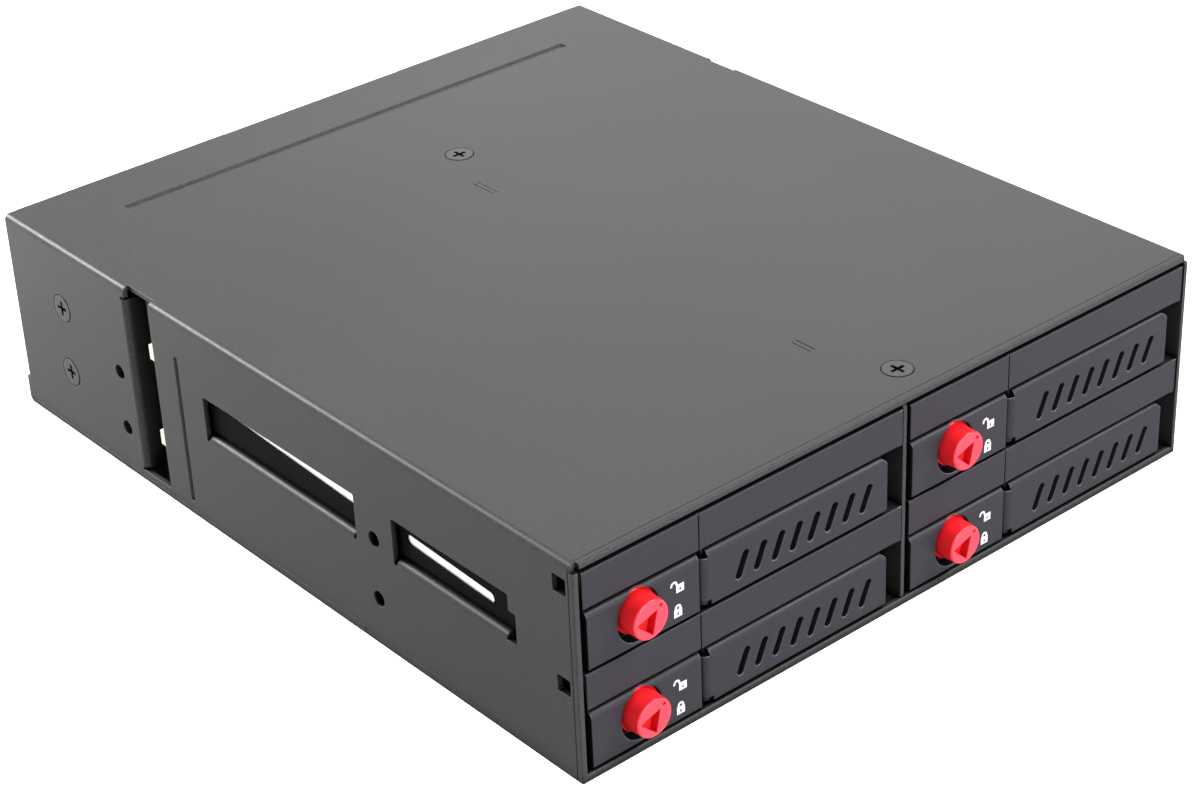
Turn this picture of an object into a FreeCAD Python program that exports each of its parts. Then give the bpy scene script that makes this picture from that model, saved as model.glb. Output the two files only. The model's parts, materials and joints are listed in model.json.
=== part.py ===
import FreeCAD, Part
import math
import os

# Hot swap cage for four 2.5 inch drives, sized for one half-height 5.25 inch bay.
# Frame: X to the right seen from the front, Y towards the back, Z up, origin at the
# middle of the footprint on the bottom face. The pieces are drawn with Y measured from
# the front edge of the case and moved to the origin when they are written.

# ---- driving dimensions of the case (mm) ----
WIDTH = 146.0
HEIGHT = 41.6
DEPTH = 170.0
SHEET = 1.0
BEND = 0.2
TOP_IN = HEIGHT - SHEET
WALL_IN = WIDTH / 2 - SHEET
SKIN_END = DEPTH - SHEET
WALL_FOOT = 1.2
FRONT_SKIRT = 21.5
BEAD = (1.2, 1.3)
LIP_DROP = 2.6
LIP_INNER = 22.0
LIP_OUTER = 70.0
REAR_TAB = 6.3

# side windows: front end, back end, bottom, top
WINDOW_FLOOR = 19.3
WINDOW_TOP = 28.4
WINDOWS = ((16.8, 47.5), (58.0, 103.3))
SHELF_TOP = 20.45
SHELF_REACH = 3.6
SHELF_RELIEF = 0.8
CABLE_GAP = (118.7, 127.0)
CABLE_GAP_Z = (2.2, 39.4)
GAP_FLANGE = 6.0
GAP_FLANGE_Z = (2.8, 38.8)
GROOVE = (110.4, 111.8)
GROOVE_Z = (3.0, 33.4)
CREASE = (153.4, 155.6)
CREASE_X = (-54.5, 55.5)
PRESS_DEPTH = 0.35
RIM_ROUND = 0.35
RIM_LINE = 1.25
RIM_CORNER = 1.6

# fixings of the case
MOUNT_Y = (52.9, 132.1)
MOUNT_Z = (9.7, 21.8)
MOUNT_R = 1.5
SIDE_SCREW_Y = 151.2
SIDE_SCREW_Z = (14.0, 27.9)
TOP_SCREW_X = 5.8
TOP_SCREW_Y = (7.8, 127.6)
SIDE_SCREW_LENGTH = 4.4
TOP_SCREW_LENGTH = 1.85
HEAD_R = 2.75
SCREW_R = 1.5
SINK_R = 3.0
CROSS = 3.0
CROSS_WIDTH = 0.7
CROSS_DEPTH = 0.7

# ---- centre divider ----
DIVIDER = 0.8
DIVIDER_END = 118.3
DIVIDER_TABS = ((22.4, 26.8), (109.1, 115.1))
DIVIDER_FEET = ((30.0, 40.0), (80.0, 90.0))
TAB_SLOT = 1.3
DIVIDER_SHELVES = ((16.0, 31.0, -1), (33.0, 48.0, 1), (58.0, 79.0, -1), (82.0, 103.0, 1))

# ---- bays and trays ----
BAY = WALL_IN - DIVIDER / 2
BAY_X = (-WALL_IN, DIVIDER / 2)
TRAY_Z = (1.8, 20.9)
RUNNER_TOP = 1.45
FACE = 0.2
BEZEL_X = (0.85, 71.35)
BEZEL_BACK = 10.0
BLOCK_X = (1.5, 24.95)
BLOCK_TOP = 10.7
STRIP_Z = (11.65, 18.55)
STRIP_WALL = 1.3
ROOF = 1.1
CHANNEL_FLOOR = 12.6
CHANNEL_BACK = 8.6
SEAM_X = 25.1
EDGE_ROUND = 1.2

PIVOT = (27.2, 2.2)
PIVOT_R = 2.0
PIN_R = 0.8
LEVER_END = 67.8
LEVER_SOLE = 1.2
LEVER_WALL = 1.2
EAR_R = 1.25
EAR_HEIGHT = 0.95
POST_ARM = 3.6
POST_R = 0.6
SLOTS = 8
SLOT_PITCH = 4.05
SLOT_FIRST = 34.4
SLOT_LEAN = 23.5
SLOT_LENGTH = 5.4
SLOT_WIDTH = 1.5
SLOT_Z = 4.75

KNOB = (12.0, 6.2)
KNOB_R = 4.1
KNOB_FACE_R = 3.6
KNOB_PROUD = 3.2
KNOB_FLANGE_R = 4.15
KEY_R = 2.65
KEY_TURN = 47.0
KEY_SHIFT = -0.5
KEY_DEPTH = 0.8
OPENING_R = 4.3
OPENING_DROP = 1.2
STEM_R = 1.5
SECTOR_R = 9.2
SECTOR_Y = (2.7, 4.3)
SECTOR_ANGLES = (122.0, 180.0)

BAR_Y = (2.3, 4.7)
BAR_Z = (14.3, 17.1)
BAR_X = (0.45, 30.4)
SPRING_X = (13.4, 21.4)
SPRING_AXIS = (6.4, 15.4)
SPRING_R = 1.2
WIRE_R = 0.25
WIRE_SIDES = 8
SPRING_TURNS = 5
GUIDE_X = ((0.85, 2.4), (18.0, 20.0), (22.8, 24.2))
SLIDE = 0.08

FRAME_X = (0.3, 71.3)
FRAME_SHEET = 0.5
FRAME_FLOOR = -0.3
FRAME_TOP = 9.0
FRAME_END = 116.0
DRIVE_HOLES_X = (35.8 - 30.86, 35.8 + 30.86)
DRIVE_HOLES_Y = (24.1, 100.7)
STRIP_SLOPE = 0.047
STRIP_WIDTH = 2.05
SPRING_SLOTS = ((22.0, 45.0), (52.0, 110.0))
BED_Y = (17.0, 114.0)
BED_DEPTH = 0.25

# ---- boards, sockets and fans ----
BACKPLANE_Y = (119.0, 120.6)
BRACKET_Y = 122.2
SOCKET = (41.0, 5.4)
SOCKET_FRONT = 113.0
LINK_Z = (19.6, 21.2)
REAR_BOARD_Y = (156.0, 157.6)
PORT_X = (-15.0, -5.0, 5.0, 15.0)
PORT = (5.2, 15.0)
PORT_Z = 28.6
INLET_X = (-11.0, 11.0)
INLET = (20.4, 9.6)
INLET_Z = 10.0
CONNECTOR_END = 169.4
FAN_X = (-47.0, 47.0)
FAN_Z = 20.8
FAN = 38.0
FAN_Y = (158.0, 168.0)
FAN_BORE = 17.6
FAN_HOLES = 15.2
BLADES = 7

# ---- placing ----
FRONT_OVERHANG = KNOB_PROUD - FACE
FRONT_Y = -(DEPTH + FRONT_OVERHANG) / 2 + FRONT_OVERHANG


def vec(x, y, z):
    return FreeCAD.Vector(x, y, z)


def box(x, y, z):
    """A block given as three (from, to) pairs."""
    return Part.makeBox(x[1] - x[0], y[1] - y[0], z[1] - z[0], vec(x[0], y[0], z[0]))


def rod(start, direction, length, radius):
    return Part.makeCylinder(radius, length, vec(*start), vec(*direction))


def cone(start, direction, length, first, last):
    return Part.makeCone(first, last, length, vec(*start), vec(*direction))


def rounded_edges(points, radii):
    """Edges of a closed outline whose corners are rounded by the given radii."""
    edges = []
    count = len(points)
    starts = []
    ends = []
    arcs = []
    for i in range(count):
        here = points[i]
        back = (points[i - 1] - here).normalize()
        ahead = (points[(i + 1) % count] - here).normalize()
        if radii[i] <= 0:
            starts.append(here)
            ends.append(here)
            arcs.append(None)
            continue
        half = back.getAngle(ahead) / 2
        reach = radii[i] / math.tan(half)
        centre = here + (back + ahead).normalize() * (radii[i] / math.sin(half))
        starts.append(here + back * reach)
        ends.append(here + ahead * reach)
        middle = centre + (here - centre).normalize() * radii[i]
        arcs.append(Part.Arc(starts[i], middle, ends[i]).toShape())
    for i in range(count):
        if arcs[i] is not None:
            edges.append(arcs[i])
        following = starts[(i + 1) % count]
        if (following - ends[i]).Length > 1e-6:
            edges.append(Part.LineSegment(ends[i], following).toShape())
    return edges


def prism(plane, outline, span, radii=None):
    """Extrude a 2D outline. plane names its two axes and span lies along the third."""
    places = {"xy": lambda a, b: vec(a, b, span[0]),
              "xz": lambda a, b: vec(a, span[0], b),
              "yz": lambda a, b: vec(span[0], a, b)}
    ways = {"xy": vec(0, 0, 1), "xz": vec(0, 1, 0), "yz": vec(1, 0, 0)}
    points = [places[plane](a, b) for a, b in outline]
    edges = rounded_edges(points, radii or [0] * len(points))
    face = Part.Face(Part.Wire(edges))
    return face.extrude(ways[plane] * (span[1] - span[0]))


def folded(plane, path, thickness, bend, span):
    """A folded sheet: path runs along one face and the metal lies to its left."""
    left = []
    corner_left = []
    corner_right = []
    last = len(path) - 1
    ways = [unit(path[i], path[i + 1]) for i in range(last)]
    for i, (a, b) in enumerate(path):
        before = ways[max(i - 1, 0)]
        after = ways[min(i, last - 1)]
        turn = before[0] * after[1] - before[1] * after[0]
        share = thickness / (1 + before[0] * after[0] + before[1] * after[1])
        left.append((a - (before[1] + after[1]) * share, b + (before[0] + after[0]) * share))
        inside = bend if abs(turn) > 0.5 else 0
        outside = bend + thickness if abs(turn) > 0.5 else 0
        corner_left.append(inside if turn > 0 else outside)
        corner_right.append(outside if turn > 0 else inside)
    outline = list(path) + left[::-1]
    return prism(plane, outline, span, corner_right + corner_left[::-1])


def unit(start, end):
    length = math.hypot(end[0] - start[0], end[1] - start[1])
    return (end[0] - start[0]) / length, (end[1] - start[1]) / length


def rectangle(a, b):
    return [(a[0], b[0]), (a[1], b[0]), (a[1], b[1]), (a[0], b[1])]


def rounded_box(plane, a, b, span, radius):
    """A block with the four edges along its span rounded."""
    return prism(plane, rectangle(a, b), span, [radius] * 4)


def leaning_slot(plane, centre, length, width, lean, span):
    """A slot with round ends, its long axis turned by lean degrees."""
    along = (math.cos(math.radians(lean)), math.sin(math.radians(lean)))
    across = (-along[1], along[0])
    half = length / 2
    side = width / 2
    corners = []
    for u, v in ((-half, -side), (half, -side), (half, side), (-half, side)):
        corners.append((centre[0] + u * along[0] + v * across[0],
                        centre[1] + u * along[1] + v * across[1]))
    return prism(plane, corners, span, [side * 0.98] * 4)


def mirrored(shape):
    return shape.mirror(vec(0, 0, 0), vec(1, 0, 0))


def both_sides(shapes):
    return list(shapes) + [mirrored(shape) for shape in shapes]


def join(shapes):
    first = shapes[0]
    return first.multiFuse(shapes[1:]).removeSplitter() if len(shapes) > 1 else first


def cut(shape, tools):
    return shape.cut(Part.Compound(tools)) if tools else shape


# ---- case ----
def wall_shelf(start, end):
    """The lower edge of a side window, folded inwards to carry the upper tray."""
    path = [(-WALL_IN + SHELF_REACH, SHELF_TOP), (-WIDTH / 2, SHELF_TOP), (-WIDTH / 2, 18.4)]
    return folded("xz", path, SHEET, BEND, (start, end))


def cover_wall_cuts():
    """Everything punched through the left wall; the right wall mirrors most of it."""
    wall = (-WIDTH / 2 - 1, -WALL_IN + 0.4)
    tools = [rounded_box("yz", (a, b), (WINDOW_FLOOR, WINDOW_TOP), wall, 0.4) for a, b in WINDOWS]
    tools += [box(wall, (a + SHELF_RELIEF, b - SHELF_RELIEF), (18.4, 20.5)) for a, b in WINDOWS]
    step = rounded_box("yz", (15.0, 18.0), (WINDOW_FLOOR, 25.3), wall, 0.3)
    gap = box(wall, (CABLE_GAP[0], CABLE_GAP[1] + SHEET + BEND), CABLE_GAP_Z)
    gap_top = box(wall, CABLE_GAP, (CABLE_GAP_Z[1] - 0.1, HEIGHT + 1))
    groove = prism("xy", pressed_line(-WIDTH / 2, GROOVE, 1), GROOVE_Z)
    foot = box(wall, (FRONT_SKIRT, DEPTH), (-1, WALL_FOOT))
    notches = [box(wall, span, (0, 1.6)) for span in ((32.2, 49.3), (57.6, 86.5))]
    mounts = [rod((wall[0], y, z), (1, 0, 0), 3, MOUNT_R) for y in MOUNT_Y for z in MOUNT_Z]
    sinks = [sink_left(SIDE_SCREW_Y, z) for z in SIDE_SCREW_Z]
    corner = box(wall, (-1, RIM_LINE - RIM_ROUND), (HEIGHT - RIM_CORNER, HEIGHT + 1))
    rim = prism("xy", rim_line(-WIDTH / 2, 1), (-1, HEIGHT - SHEET))
    return tools + [step, gap, gap_top, groove, foot, corner, rim] + notches + mounts + sinks


def pressed_line(face, span, inwards):
    """Outline of a soft pressed line across a sheet whose outer face lies at face."""
    slope = (span[1] - span[0]) / 2 - 0.25
    deep = face + inwards * PRESS_DEPTH
    out = face - inwards * PRESS_DEPTH
    return [(out, span[0] - slope), (deep, span[0] + slope), (deep, span[1] - slope), (out, span[1] + slope)]


def rim_line(face, inwards):
    """Outline of the fine line behind the rounded front edge of the case."""
    return [(face - inwards * 0.1, RIM_LINE - 0.25), (face + inwards * 0.15, RIM_LINE),
            (face - inwards * 0.1, RIM_LINE + 0.25)]


def sink_left(y, z):
    """Countersunk hole for a side screw."""
    hole = rod((-WIDTH / 2 - 1, y, z), (1, 0, 0), 3, SCREW_R + 0.1)
    return hole.fuse(cone((-WIDTH / 2, y, z), (1, 0, 0), SHEET, SINK_R, SCREW_R + 0.1))


def sink_top(x, y):
    hole = rod((x, y, HEIGHT + 1), (0, 0, -1), 3, SCREW_R + 0.1)
    return hole.fuse(cone((x, y, HEIGHT), (0, 0, -1), SHEET, SINK_R, SCREW_R + 0.1))


def cover_top_cuts():
    above = (TOP_IN - 1, HEIGHT + 1)
    crease = prism("yz", [(y, z) for z, y in pressed_line(HEIGHT, CREASE, -1)], CREASE_X)
    rim = prism("yz", [(y, z) for z, y in rim_line(HEIGHT, -1)], (-WALL_IN, WALL_IN))
    slots = [box((-TAB_SLOT / 2, TAB_SLOT / 2), (a - 0.1, b + 0.1), above) for a, b in DIVIDER_TABS]
    sinks = [sink_top(TOP_SCREW_X, y) for y in TOP_SCREW_Y]
    back = (SKIN_END - 1.5, DEPTH + 1)
    lip_room = [box((LIP_INNER, LIP_OUTER), back, above)]
    return [crease, rim] + slots + sinks + both_sides(lip_room)


def latch_holes(x):
    """Square holes that the latch bars of the two trays of one column point at."""
    return [rounded_box("yz", (1.9, 5.1), (z + 14.2, z + 17.4), x, 0.3) for z in TRAY_Z]


def cover_shell():
    """Top and both side walls, folded from one sheet."""
    half = WIDTH / 2
    path = [(half, 0), (half, HEIGHT), (-half, HEIGHT), (-half, 0)]
    skin = folded("xz", path, SHEET, BEND, (0, SKIN_END))
    skin = skin.makeFillet(RIM_ROUND, front_edges(skin))
    skin = cut(skin, both_sides(cover_wall_cuts()) + cover_top_cuts())
    skin = cut(skin, latch_holes((-half - 1, -WALL_IN + 1)))
    lip_path = [(DEPTH, HEIGHT - LIP_DROP), (DEPTH, HEIGHT), (SKIN_END - 1.5, HEIGHT)]
    lip = folded("yz", lip_path, SHEET, BEND, (LIP_INNER, LIP_OUTER))
    flange_path = [(-half, CABLE_GAP[1] + 3), (-half, CABLE_GAP[1]), (-WALL_IN + GAP_FLANGE, CABLE_GAP[1])]
    flange = folded("xy", flange_path, SHEET, BEND, GAP_FLANGE_Z)
    shelves = [wall_shelf(a + SHELF_RELIEF, b - SHELF_RELIEF) for a, b in WINDOWS]
    return join([skin] + both_sides([lip, flange] + shelves))


def front_edges(skin):
    """Outer edges of the case at its open front, from one foot over the top to the other."""
    edges = [edge for edge in skin.Edges if edge.BoundBox.YMax < 0.01]
    outside = WALL_IN + SHEET / 2
    return [edge for edge in edges if edge.BoundBox.ZMin > HEIGHT - SHEET / 2
            or (min(abs(edge.BoundBox.XMin), abs(edge.BoundBox.XMax)) > outside and edge.BoundBox.ZLength > 1e-6)]


def base_outline():
    half = WIDTH / 2
    front = FRONT_SKIRT + 0.2
    right = [(WALL_IN, 0), (WALL_IN, front), (half, front), (half, SKIN_END)]
    return right + [(-x, y) for x, y in reversed(right)]


def runner(x):
    """A pressed ridge that the lower tray slides on."""
    return rounded_box("xy", (x - 1.5, x + 1.5), (20.0, 108.0), (SHEET - 0.3, RUNNER_TOP), 1.4)


def runner_dent(x):
    return rounded_box("xy", (x - 0.9, x + 0.9), (20.6, 107.4), (-1, RUNNER_TOP - SHEET), 0.85)


def base_pan():
    """Flat bottom plate with front bead, edge hooks and two rear corner tabs."""
    plate = prism("xy", base_outline(), (0, SHEET))
    bead = rounded_box("yz", (0, BEAD[0]), (0, BEAD[1]), (-WALL_IN, WALL_IN), 0.4)
    hooks = [box((-WIDTH / 2, -WALL_IN - 0.1), (a + 0.2, b - 0.2), (SHEET / 2, 1.5))
             for a, b in ((32.2, 49.3), (57.6, 86.5))]
    tab_path = [(SKIN_END - 8, 0), (DEPTH, 0), (DEPTH, 5.7)]
    tab = folded("yz", tab_path, SHEET, BEND, (-WIDTH / 2, -WIDTH / 2 + REAR_TAB))
    lanes = [x + shift for x in BAY_X for shift in (12.0, BAY - 12.0)]
    feet = [box((-DIVIDER / 2 - 0.05, DIVIDER / 2 + 0.05), span, (-1, 2)) for span in DIVIDER_FEET]
    body = join([plate, bead] + both_sides(hooks + [tab]) + [runner(x) for x in lanes])
    return cut(body, [runner_dent(x) for x in lanes] + feet)


def divider_shelf(start, end, side):
    """A tongue lanced from the divider and folded to one side under an upper tray."""
    face = DIVIDER / 2
    path = [(face + SHELF_REACH, SHELF_TOP), (-face, SHELF_TOP), (-face, 18.4)]
    shelf = folded("xz", path, DIVIDER, BEND, (start + SHELF_RELIEF, end - SHELF_RELIEF))
    return shelf if side > 0 else mirrored(shelf)


def centre_divider():
    """Upright sheet between the columns, with tabs, feet and a screw flange."""
    half = DIVIDER / 2
    sheet = (-half, half)
    path = [(half, SHEET), (half, TOP_IN - DIVIDER), (10.2, TOP_IN - DIVIDER)]
    flanged = folded("xz", path, DIVIDER, BEND, (2.0, 13.6))
    plate_top = [0.6, 0, 0, 1.5]
    plate = prism("yz", rectangle((0.3, DIVIDER_END), (SHEET, TOP_IN)), sheet, plate_top)
    flange_room = box((-1, 1), (2.0, 13.6), (SHEET + 1, TOP_IN + 1))
    bead_room = box((-1, 1), (0, BEAD[0] + 0.1), (0, BEAD[1] + 0.1))
    tabs = [box(sheet, span, (TOP_IN - 1, HEIGHT)) for span in DIVIDER_TABS]
    feet = [box(sheet, span, (0, SHEET + 1)) for span in DIVIDER_FEET]
    through = (-1, 1)
    holes = [rounded_box("yz", (a, b), (WINDOW_FLOOR, WINDOW_TOP), through, 0.4)
             for a, b, _ in DIVIDER_SHELVES]
    holes += [box(through, (a + SHELF_RELIEF, b - SHELF_RELIEF), (18.4, 20.5))
              for a, b, _ in DIVIDER_SHELVES]
    screw = rod((TOP_SCREW_X, TOP_SCREW_Y[0], TOP_IN + 1), (0, 0, -1), 3, SCREW_R)
    body = cut(plate, [flange_room, bead_room] + holes)
    shelves = [divider_shelf(*shelf) for shelf in DIVIDER_SHELVES]
    body = join([body, flanged] + tabs + feet + shelves)
    return cut(body, latch_holes((-2, 2)) + [screw])


def ring_slots(x, z, y):
    """Three broken ring slots that let the fan blow through the back panel."""
    slots = []
    for inner, outer in ((5.6, 8.2), (10.0, 12.6), (14.4, 17.0)):
        ring = rod((x, y[0], z), (0, 1, 0), y[1] - y[0], outer)
        ring = ring.cut(rod((x, y[0], z), (0, 1, 0), y[1] - y[0], inner))
        bars = []
        for turn in (45, 135):
            bar = box((-20, 20), y, (-1.0, 1.0))
            bar.rotate(vec(0, 0, 0), vec(0, 1, 0), turn)
            bar.translate(vec(x, 0, z))
            bars.append(bar)
        slots.append(cut(ring, bars))
    return slots


def fan_corners(x):
    return [(x + a * FAN_HOLES, FAN_Z + b * FAN_HOLES) for a in (-1, 1) for b in (-1, 1)]


def rear_bracket():
    """Back panel with fan grilles and connector cut-outs, flanges along both walls."""
    path = [(WALL_IN, 129.5), (WALL_IN, SKIN_END), (-WALL_IN, SKIN_END), (-WALL_IN, 129.5)]
    body = folded("xy", path, SHEET, BEND, (SHEET + BEND + 0.1, TOP_IN - BEND - 0.1))
    panel = (FAN_Y[1] - 0.5, SKIN_END + 0.5)
    tools = []
    for x in FAN_X:
        tools += ring_slots(x, FAN_Z, panel)
        tools += [rod((a, panel[0], b), (0, 1, 0), 2, SCREW_R + 0.1) for a, b in fan_corners(x)]
    for x in PORT_X:
        tools.append(connector_room(x, PORT_Z, PORT, panel))
    for x in INLET_X:
        tools.append(connector_room(x, INLET_Z, INLET, panel))
    flange = (-WALL_IN - 1, -WALL_IN + 2)
    holes = [rod((flange[0], SIDE_SCREW_Y, z), (1, 0, 0), 3, SCREW_R) for z in SIDE_SCREW_Z]
    holes += [rod((flange[0], MOUNT_Y[1], z), (1, 0, 0), 3, MOUNT_R) for z in MOUNT_Z]
    return cut(body, tools + both_sides(holes))


def connector_room(x, z, size, y):
    width = size[0] / 2 + 0.2
    height = size[1] / 2 + 0.2
    return box((x - width, x + width), y, (z - height, z + height))


def flat_screw(place, way, length):
    """Countersunk M3 screw, its head flush with the sheet at place."""
    start = vec(*place)
    head = cone(place, way, SHEET, HEAD_R, SCREW_R)
    shank = rod(tuple(start), way, length, SCREW_R)
    return cut(join([head, shank]), [cross_recess(start, way)])


def cross_recess(start, way):
    """Recess for the screwdriver, a cross turned to the screw axis."""
    half = CROSS / 2
    arm = box((-half, half), (-CROSS_WIDTH / 2, CROSS_WIDTH / 2), (-CROSS_DEPTH, CROSS_DEPTH))
    other = box((-CROSS_WIDTH / 2, CROSS_WIDTH / 2), (-half, half), (-CROSS_DEPTH, CROSS_DEPTH))
    cross = arm.fuse(other)
    turn = FreeCAD.Rotation(vec(0, 0, 1), vec(*way))
    cross.Placement = FreeCAD.Placement(start, turn)
    return cross


def side_screws():
    return both_sides([flat_screw((-WIDTH / 2, SIDE_SCREW_Y, z), (1, 0, 0), SIDE_SCREW_LENGTH)
                       for z in SIDE_SCREW_Z])


def top_screws():
    return [flat_screw((TOP_SCREW_X, y, HEIGHT), (0, 0, -1), TOP_SCREW_LENGTH) for y in TOP_SCREW_Y]


# ---- boards and connectors ----
def board_holes():
    return [(x, z) for x in (-66.0, 66.0) for z in (5.0, 36.6)]


def backplane_board():
    """Upright circuit board behind the trays, open for air between the sockets."""
    board = prism("xz", rectangle((-71.0, 71.0), (1.6, 40.0)), BACKPLANE_Y, [1.0] * 4)
    ears = [box((-72.7, -70.0), BACKPLANE_Y, (z - 1.5, z + 1.5)) for z in (12.6, 30.7)]
    across = (BACKPLANE_Y[0] - 1, BACKPLANE_Y[1] + 1)
    vents = [rounded_box("xz", (a, b), (z, z + 5.4), across, 1.0)
             for a, b in ((-61.0, -38.0), (-33.0, -10.0), (10.0, 33.0), (38.0, 61.0))
             for z in (12.4, 31.5)]
    holes = [rod((x, across[0], z), (0, 1, 0), 4, SCREW_R + 0.1) for x, z in board_holes()]
    return cut(join([board] + both_sides(ears)), vents + holes)


def backplane_bracket():
    """Folded plate that carries the backplane and hangs from the top by its flange."""
    path = [(133.0, TOP_IN), (BRACKET_Y, TOP_IN), (BRACKET_Y, SHEET)]
    body = folded("yz", path, SHEET, BEND, (-70.6, 70.6))
    across = (BRACKET_Y - 1, BRACKET_Y + 2)
    spans = ((-61.0, -19.0), (19.0, 61.0))
    vents = [rounded_box("xz", span, (z, z + 14.0), across, 2.0) for span in spans for z in (4.0, 22.0)]
    link = box((-15.0, 15.0), across, (LINK_Z[0] - 0.6, LINK_Z[1] + 0.6))
    notch = rounded_box("xy", (14.0, 62.0), (125.5, 140.0), (TOP_IN - 2, TOP_IN + 1), 1.0)
    holes = [rod((x, across[0], z), (0, 1, 0), 4, SCREW_R) for x, z in board_holes()]
    screw = rod((TOP_SCREW_X, TOP_SCREW_Y[1], TOP_IN + 1), (0, 0, -1), 3, SCREW_R)
    return cut(body, vents + [link, screw] + holes + both_sides([notch]))


def board_screw(x, z):
    """Pan head screw with the spacer collar that sets the board off its bracket."""
    head = rod((x, BACKPLANE_Y[0] - 1.6, z), (0, 1, 0), 1.6, 2.6)
    shank = rod((x, BACKPLANE_Y[0], z), (0, 1, 0), 6.0, SCREW_R)
    collar = rod((x, BACKPLANE_Y[1], z), (0, 1, 0), BRACKET_Y - BACKPLANE_Y[1], 2.4)
    return join([head, shank, collar])


def board_screws():
    return [board_screw(x, z) for x, z in board_holes()]


def drive_socket():
    """Socket for the drive connector: a body, a contact tongue and two guide horns."""
    half = SOCKET[0] / 2
    back = (115.2, BACKPLANE_Y[0])
    body = rounded_box("xz", (-half, half), (0, SOCKET[1]), back, 0.4)
    shroud = rounded_box("xz", (-half + 2.6, half - 2.6), (0, 1.2), (SOCKET_FRONT, back[1]), 0.3)
    data_tongue = box((-17.0, -7.6), (SOCKET_FRONT, back[1]), (2.2, 3.4))
    power_tongue = box((-5.4, 17.0), (SOCKET_FRONT, back[1]), (2.2, 3.4))
    horns = [rounded_box("xz", span, (0, SOCKET[1]), (SOCKET_FRONT, back[1]), 0.5)
             for span in ((-half, -half + 2.6), (half - 2.6, half))]
    return join([body, shroud, data_tongue, power_tongue] + horns)


def place_socket(column, row):
    shape = drive_socket()
    shape.translate(vec(BAY_X[column] + BAY / 2, 0, TRAY_Z[row] + 1.4))
    return shape


def link_board():
    return box((-14.0, 14.0), (BACKPLANE_Y[1], REAR_BOARD_Y[0]), LINK_Z)


def rear_board():
    return prism("xz", rectangle((-21.4, 21.4), (3.0, 38.0)), REAR_BOARD_Y, [1.0] * 4)


def data_port(x):
    """Seven-contact data connector, its keyed mouth facing the back."""
    span = (REAR_BOARD_Y[1], CONNECTOR_END)
    body = rounded_box("xz", (-PORT[0] / 2, PORT[0] / 2), (-PORT[1] / 2, PORT[1] / 2), span, 0.4)
    mouth = box((-1.7, 1.7), (CONNECTOR_END - 6.5, CONNECTOR_END + 1), (-6.3, 6.3))
    tongue = box((-0.1, 1.1), (CONNECTOR_END - 6.6, CONNECTOR_END - 0.6), (-4.6, 5.2))
    key = box((-1.2, 1.1), (CONNECTOR_END - 6.6, CONNECTOR_END - 0.6), (-5.2, -4.2))
    port = join([body.cut(mouth), tongue, key])
    port.translate(vec(x, 0, PORT_Z))
    return port


def power_inlet(x):
    """Four-pin power connector with two bevelled corners."""
    half = INLET[0] / 2
    rise = INLET[1] / 2
    bevel = 2.4
    shell = [(-half, -rise), (half, -rise), (half, rise - bevel), (half - bevel, rise),
             (bevel - half, rise), (-half, rise - bevel)]
    inner = [(a * (1 - 1.2 / half), b * (1 - 1.2 / rise)) for a, b in shell]
    body = prism("xz", shell, (REAR_BOARD_Y[1], CONNECTOR_END))
    mouth = prism("xz", inner, (CONNECTOR_END - 9.0, CONNECTOR_END + 1))
    pins = [rod((pin * 5.08 - 7.62, CONNECTOR_END - 9.5, -0.6), (0, 1, 0), 8.0, 1.0) for pin in range(4)]
    inlet = join([body.cut(mouth)] + pins)
    inlet.translate(vec(x, 0, INLET_Z))
    return inlet


# ---- fans ----
def fan_housing(x):
    """Square fan frame with a round duct and a motor plate held by four struts."""
    half = FAN / 2
    frame = rounded_box("xz", (-half, half), (-half, half), FAN_Y, 2.5)
    duct = rod((0, FAN_Y[0] - 1, 0), (0, 1, 0), 12, FAN_BORE)
    plate = (FAN_Y[1] - 1.2, FAN_Y[1])
    motor = rod((0, plate[0], 0), (0, 1, 0), 1.2, 8.4)
    struts = []
    for turn in (20, 110):
        strut = box((-FAN_BORE - 0.6, FAN_BORE + 0.6), plate, (-0.9, 0.9))
        strut.rotate(vec(0, 0, 0), vec(0, 1, 0), turn)
        struts.append(strut)
    body = join([frame.cut(duct), motor] + struts)
    tools = [rod((a, FAN_Y[0] - 1, b), (0, 1, 0), 12, SCREW_R)
             for a in (-FAN_HOLES, FAN_HOLES) for b in (-FAN_HOLES, FAN_HOLES)]
    tools.append(rod((0, plate[0] - 1, 0), (0, 1, 0), 3, 1.05))
    tools += [box((-half - 1, half + 1), (FAN_Y[0] + 2.4, FAN_Y[1] - 2.4), (a, a + 6))
              .common(outside_duct()) for a in (half - 4, -half - 2)]
    body = cut(body, tools)
    body.translate(vec(x, 0, FAN_Z))
    return body


def outside_duct():
    """Room around the duct wall where the fan frame is cut down between its flanges."""
    block = box((-12.0, 12.0), (FAN_Y[0], FAN_Y[1]), (-20, 20))
    return block.cut(rod((0, FAN_Y[0], 0), (0, 1, 0), 10, FAN_BORE + 0.9))


def blade():
    """One blade: a plate lofted from the hub to the tip while its pitch flattens."""
    sections = []
    for radius, chord, pitch in ((7.6, 7.4, 50.0), (12.0, 8.6, 38.0), (16.9, 9.4, 29.0)):
        half = chord / 2
        a = math.radians(pitch)
        corners = []
        for u, v in ((-half, -0.35), (half, -0.35), (half, 0.35), (-half, 0.35)):
            corners.append(vec(u * math.cos(a) - v * math.sin(a), u * math.sin(a) + v * math.cos(a), radius))
        sections.append(Part.makePolygon(corners + [corners[0]]))
    return Part.makeLoft(sections, True, True)


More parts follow.
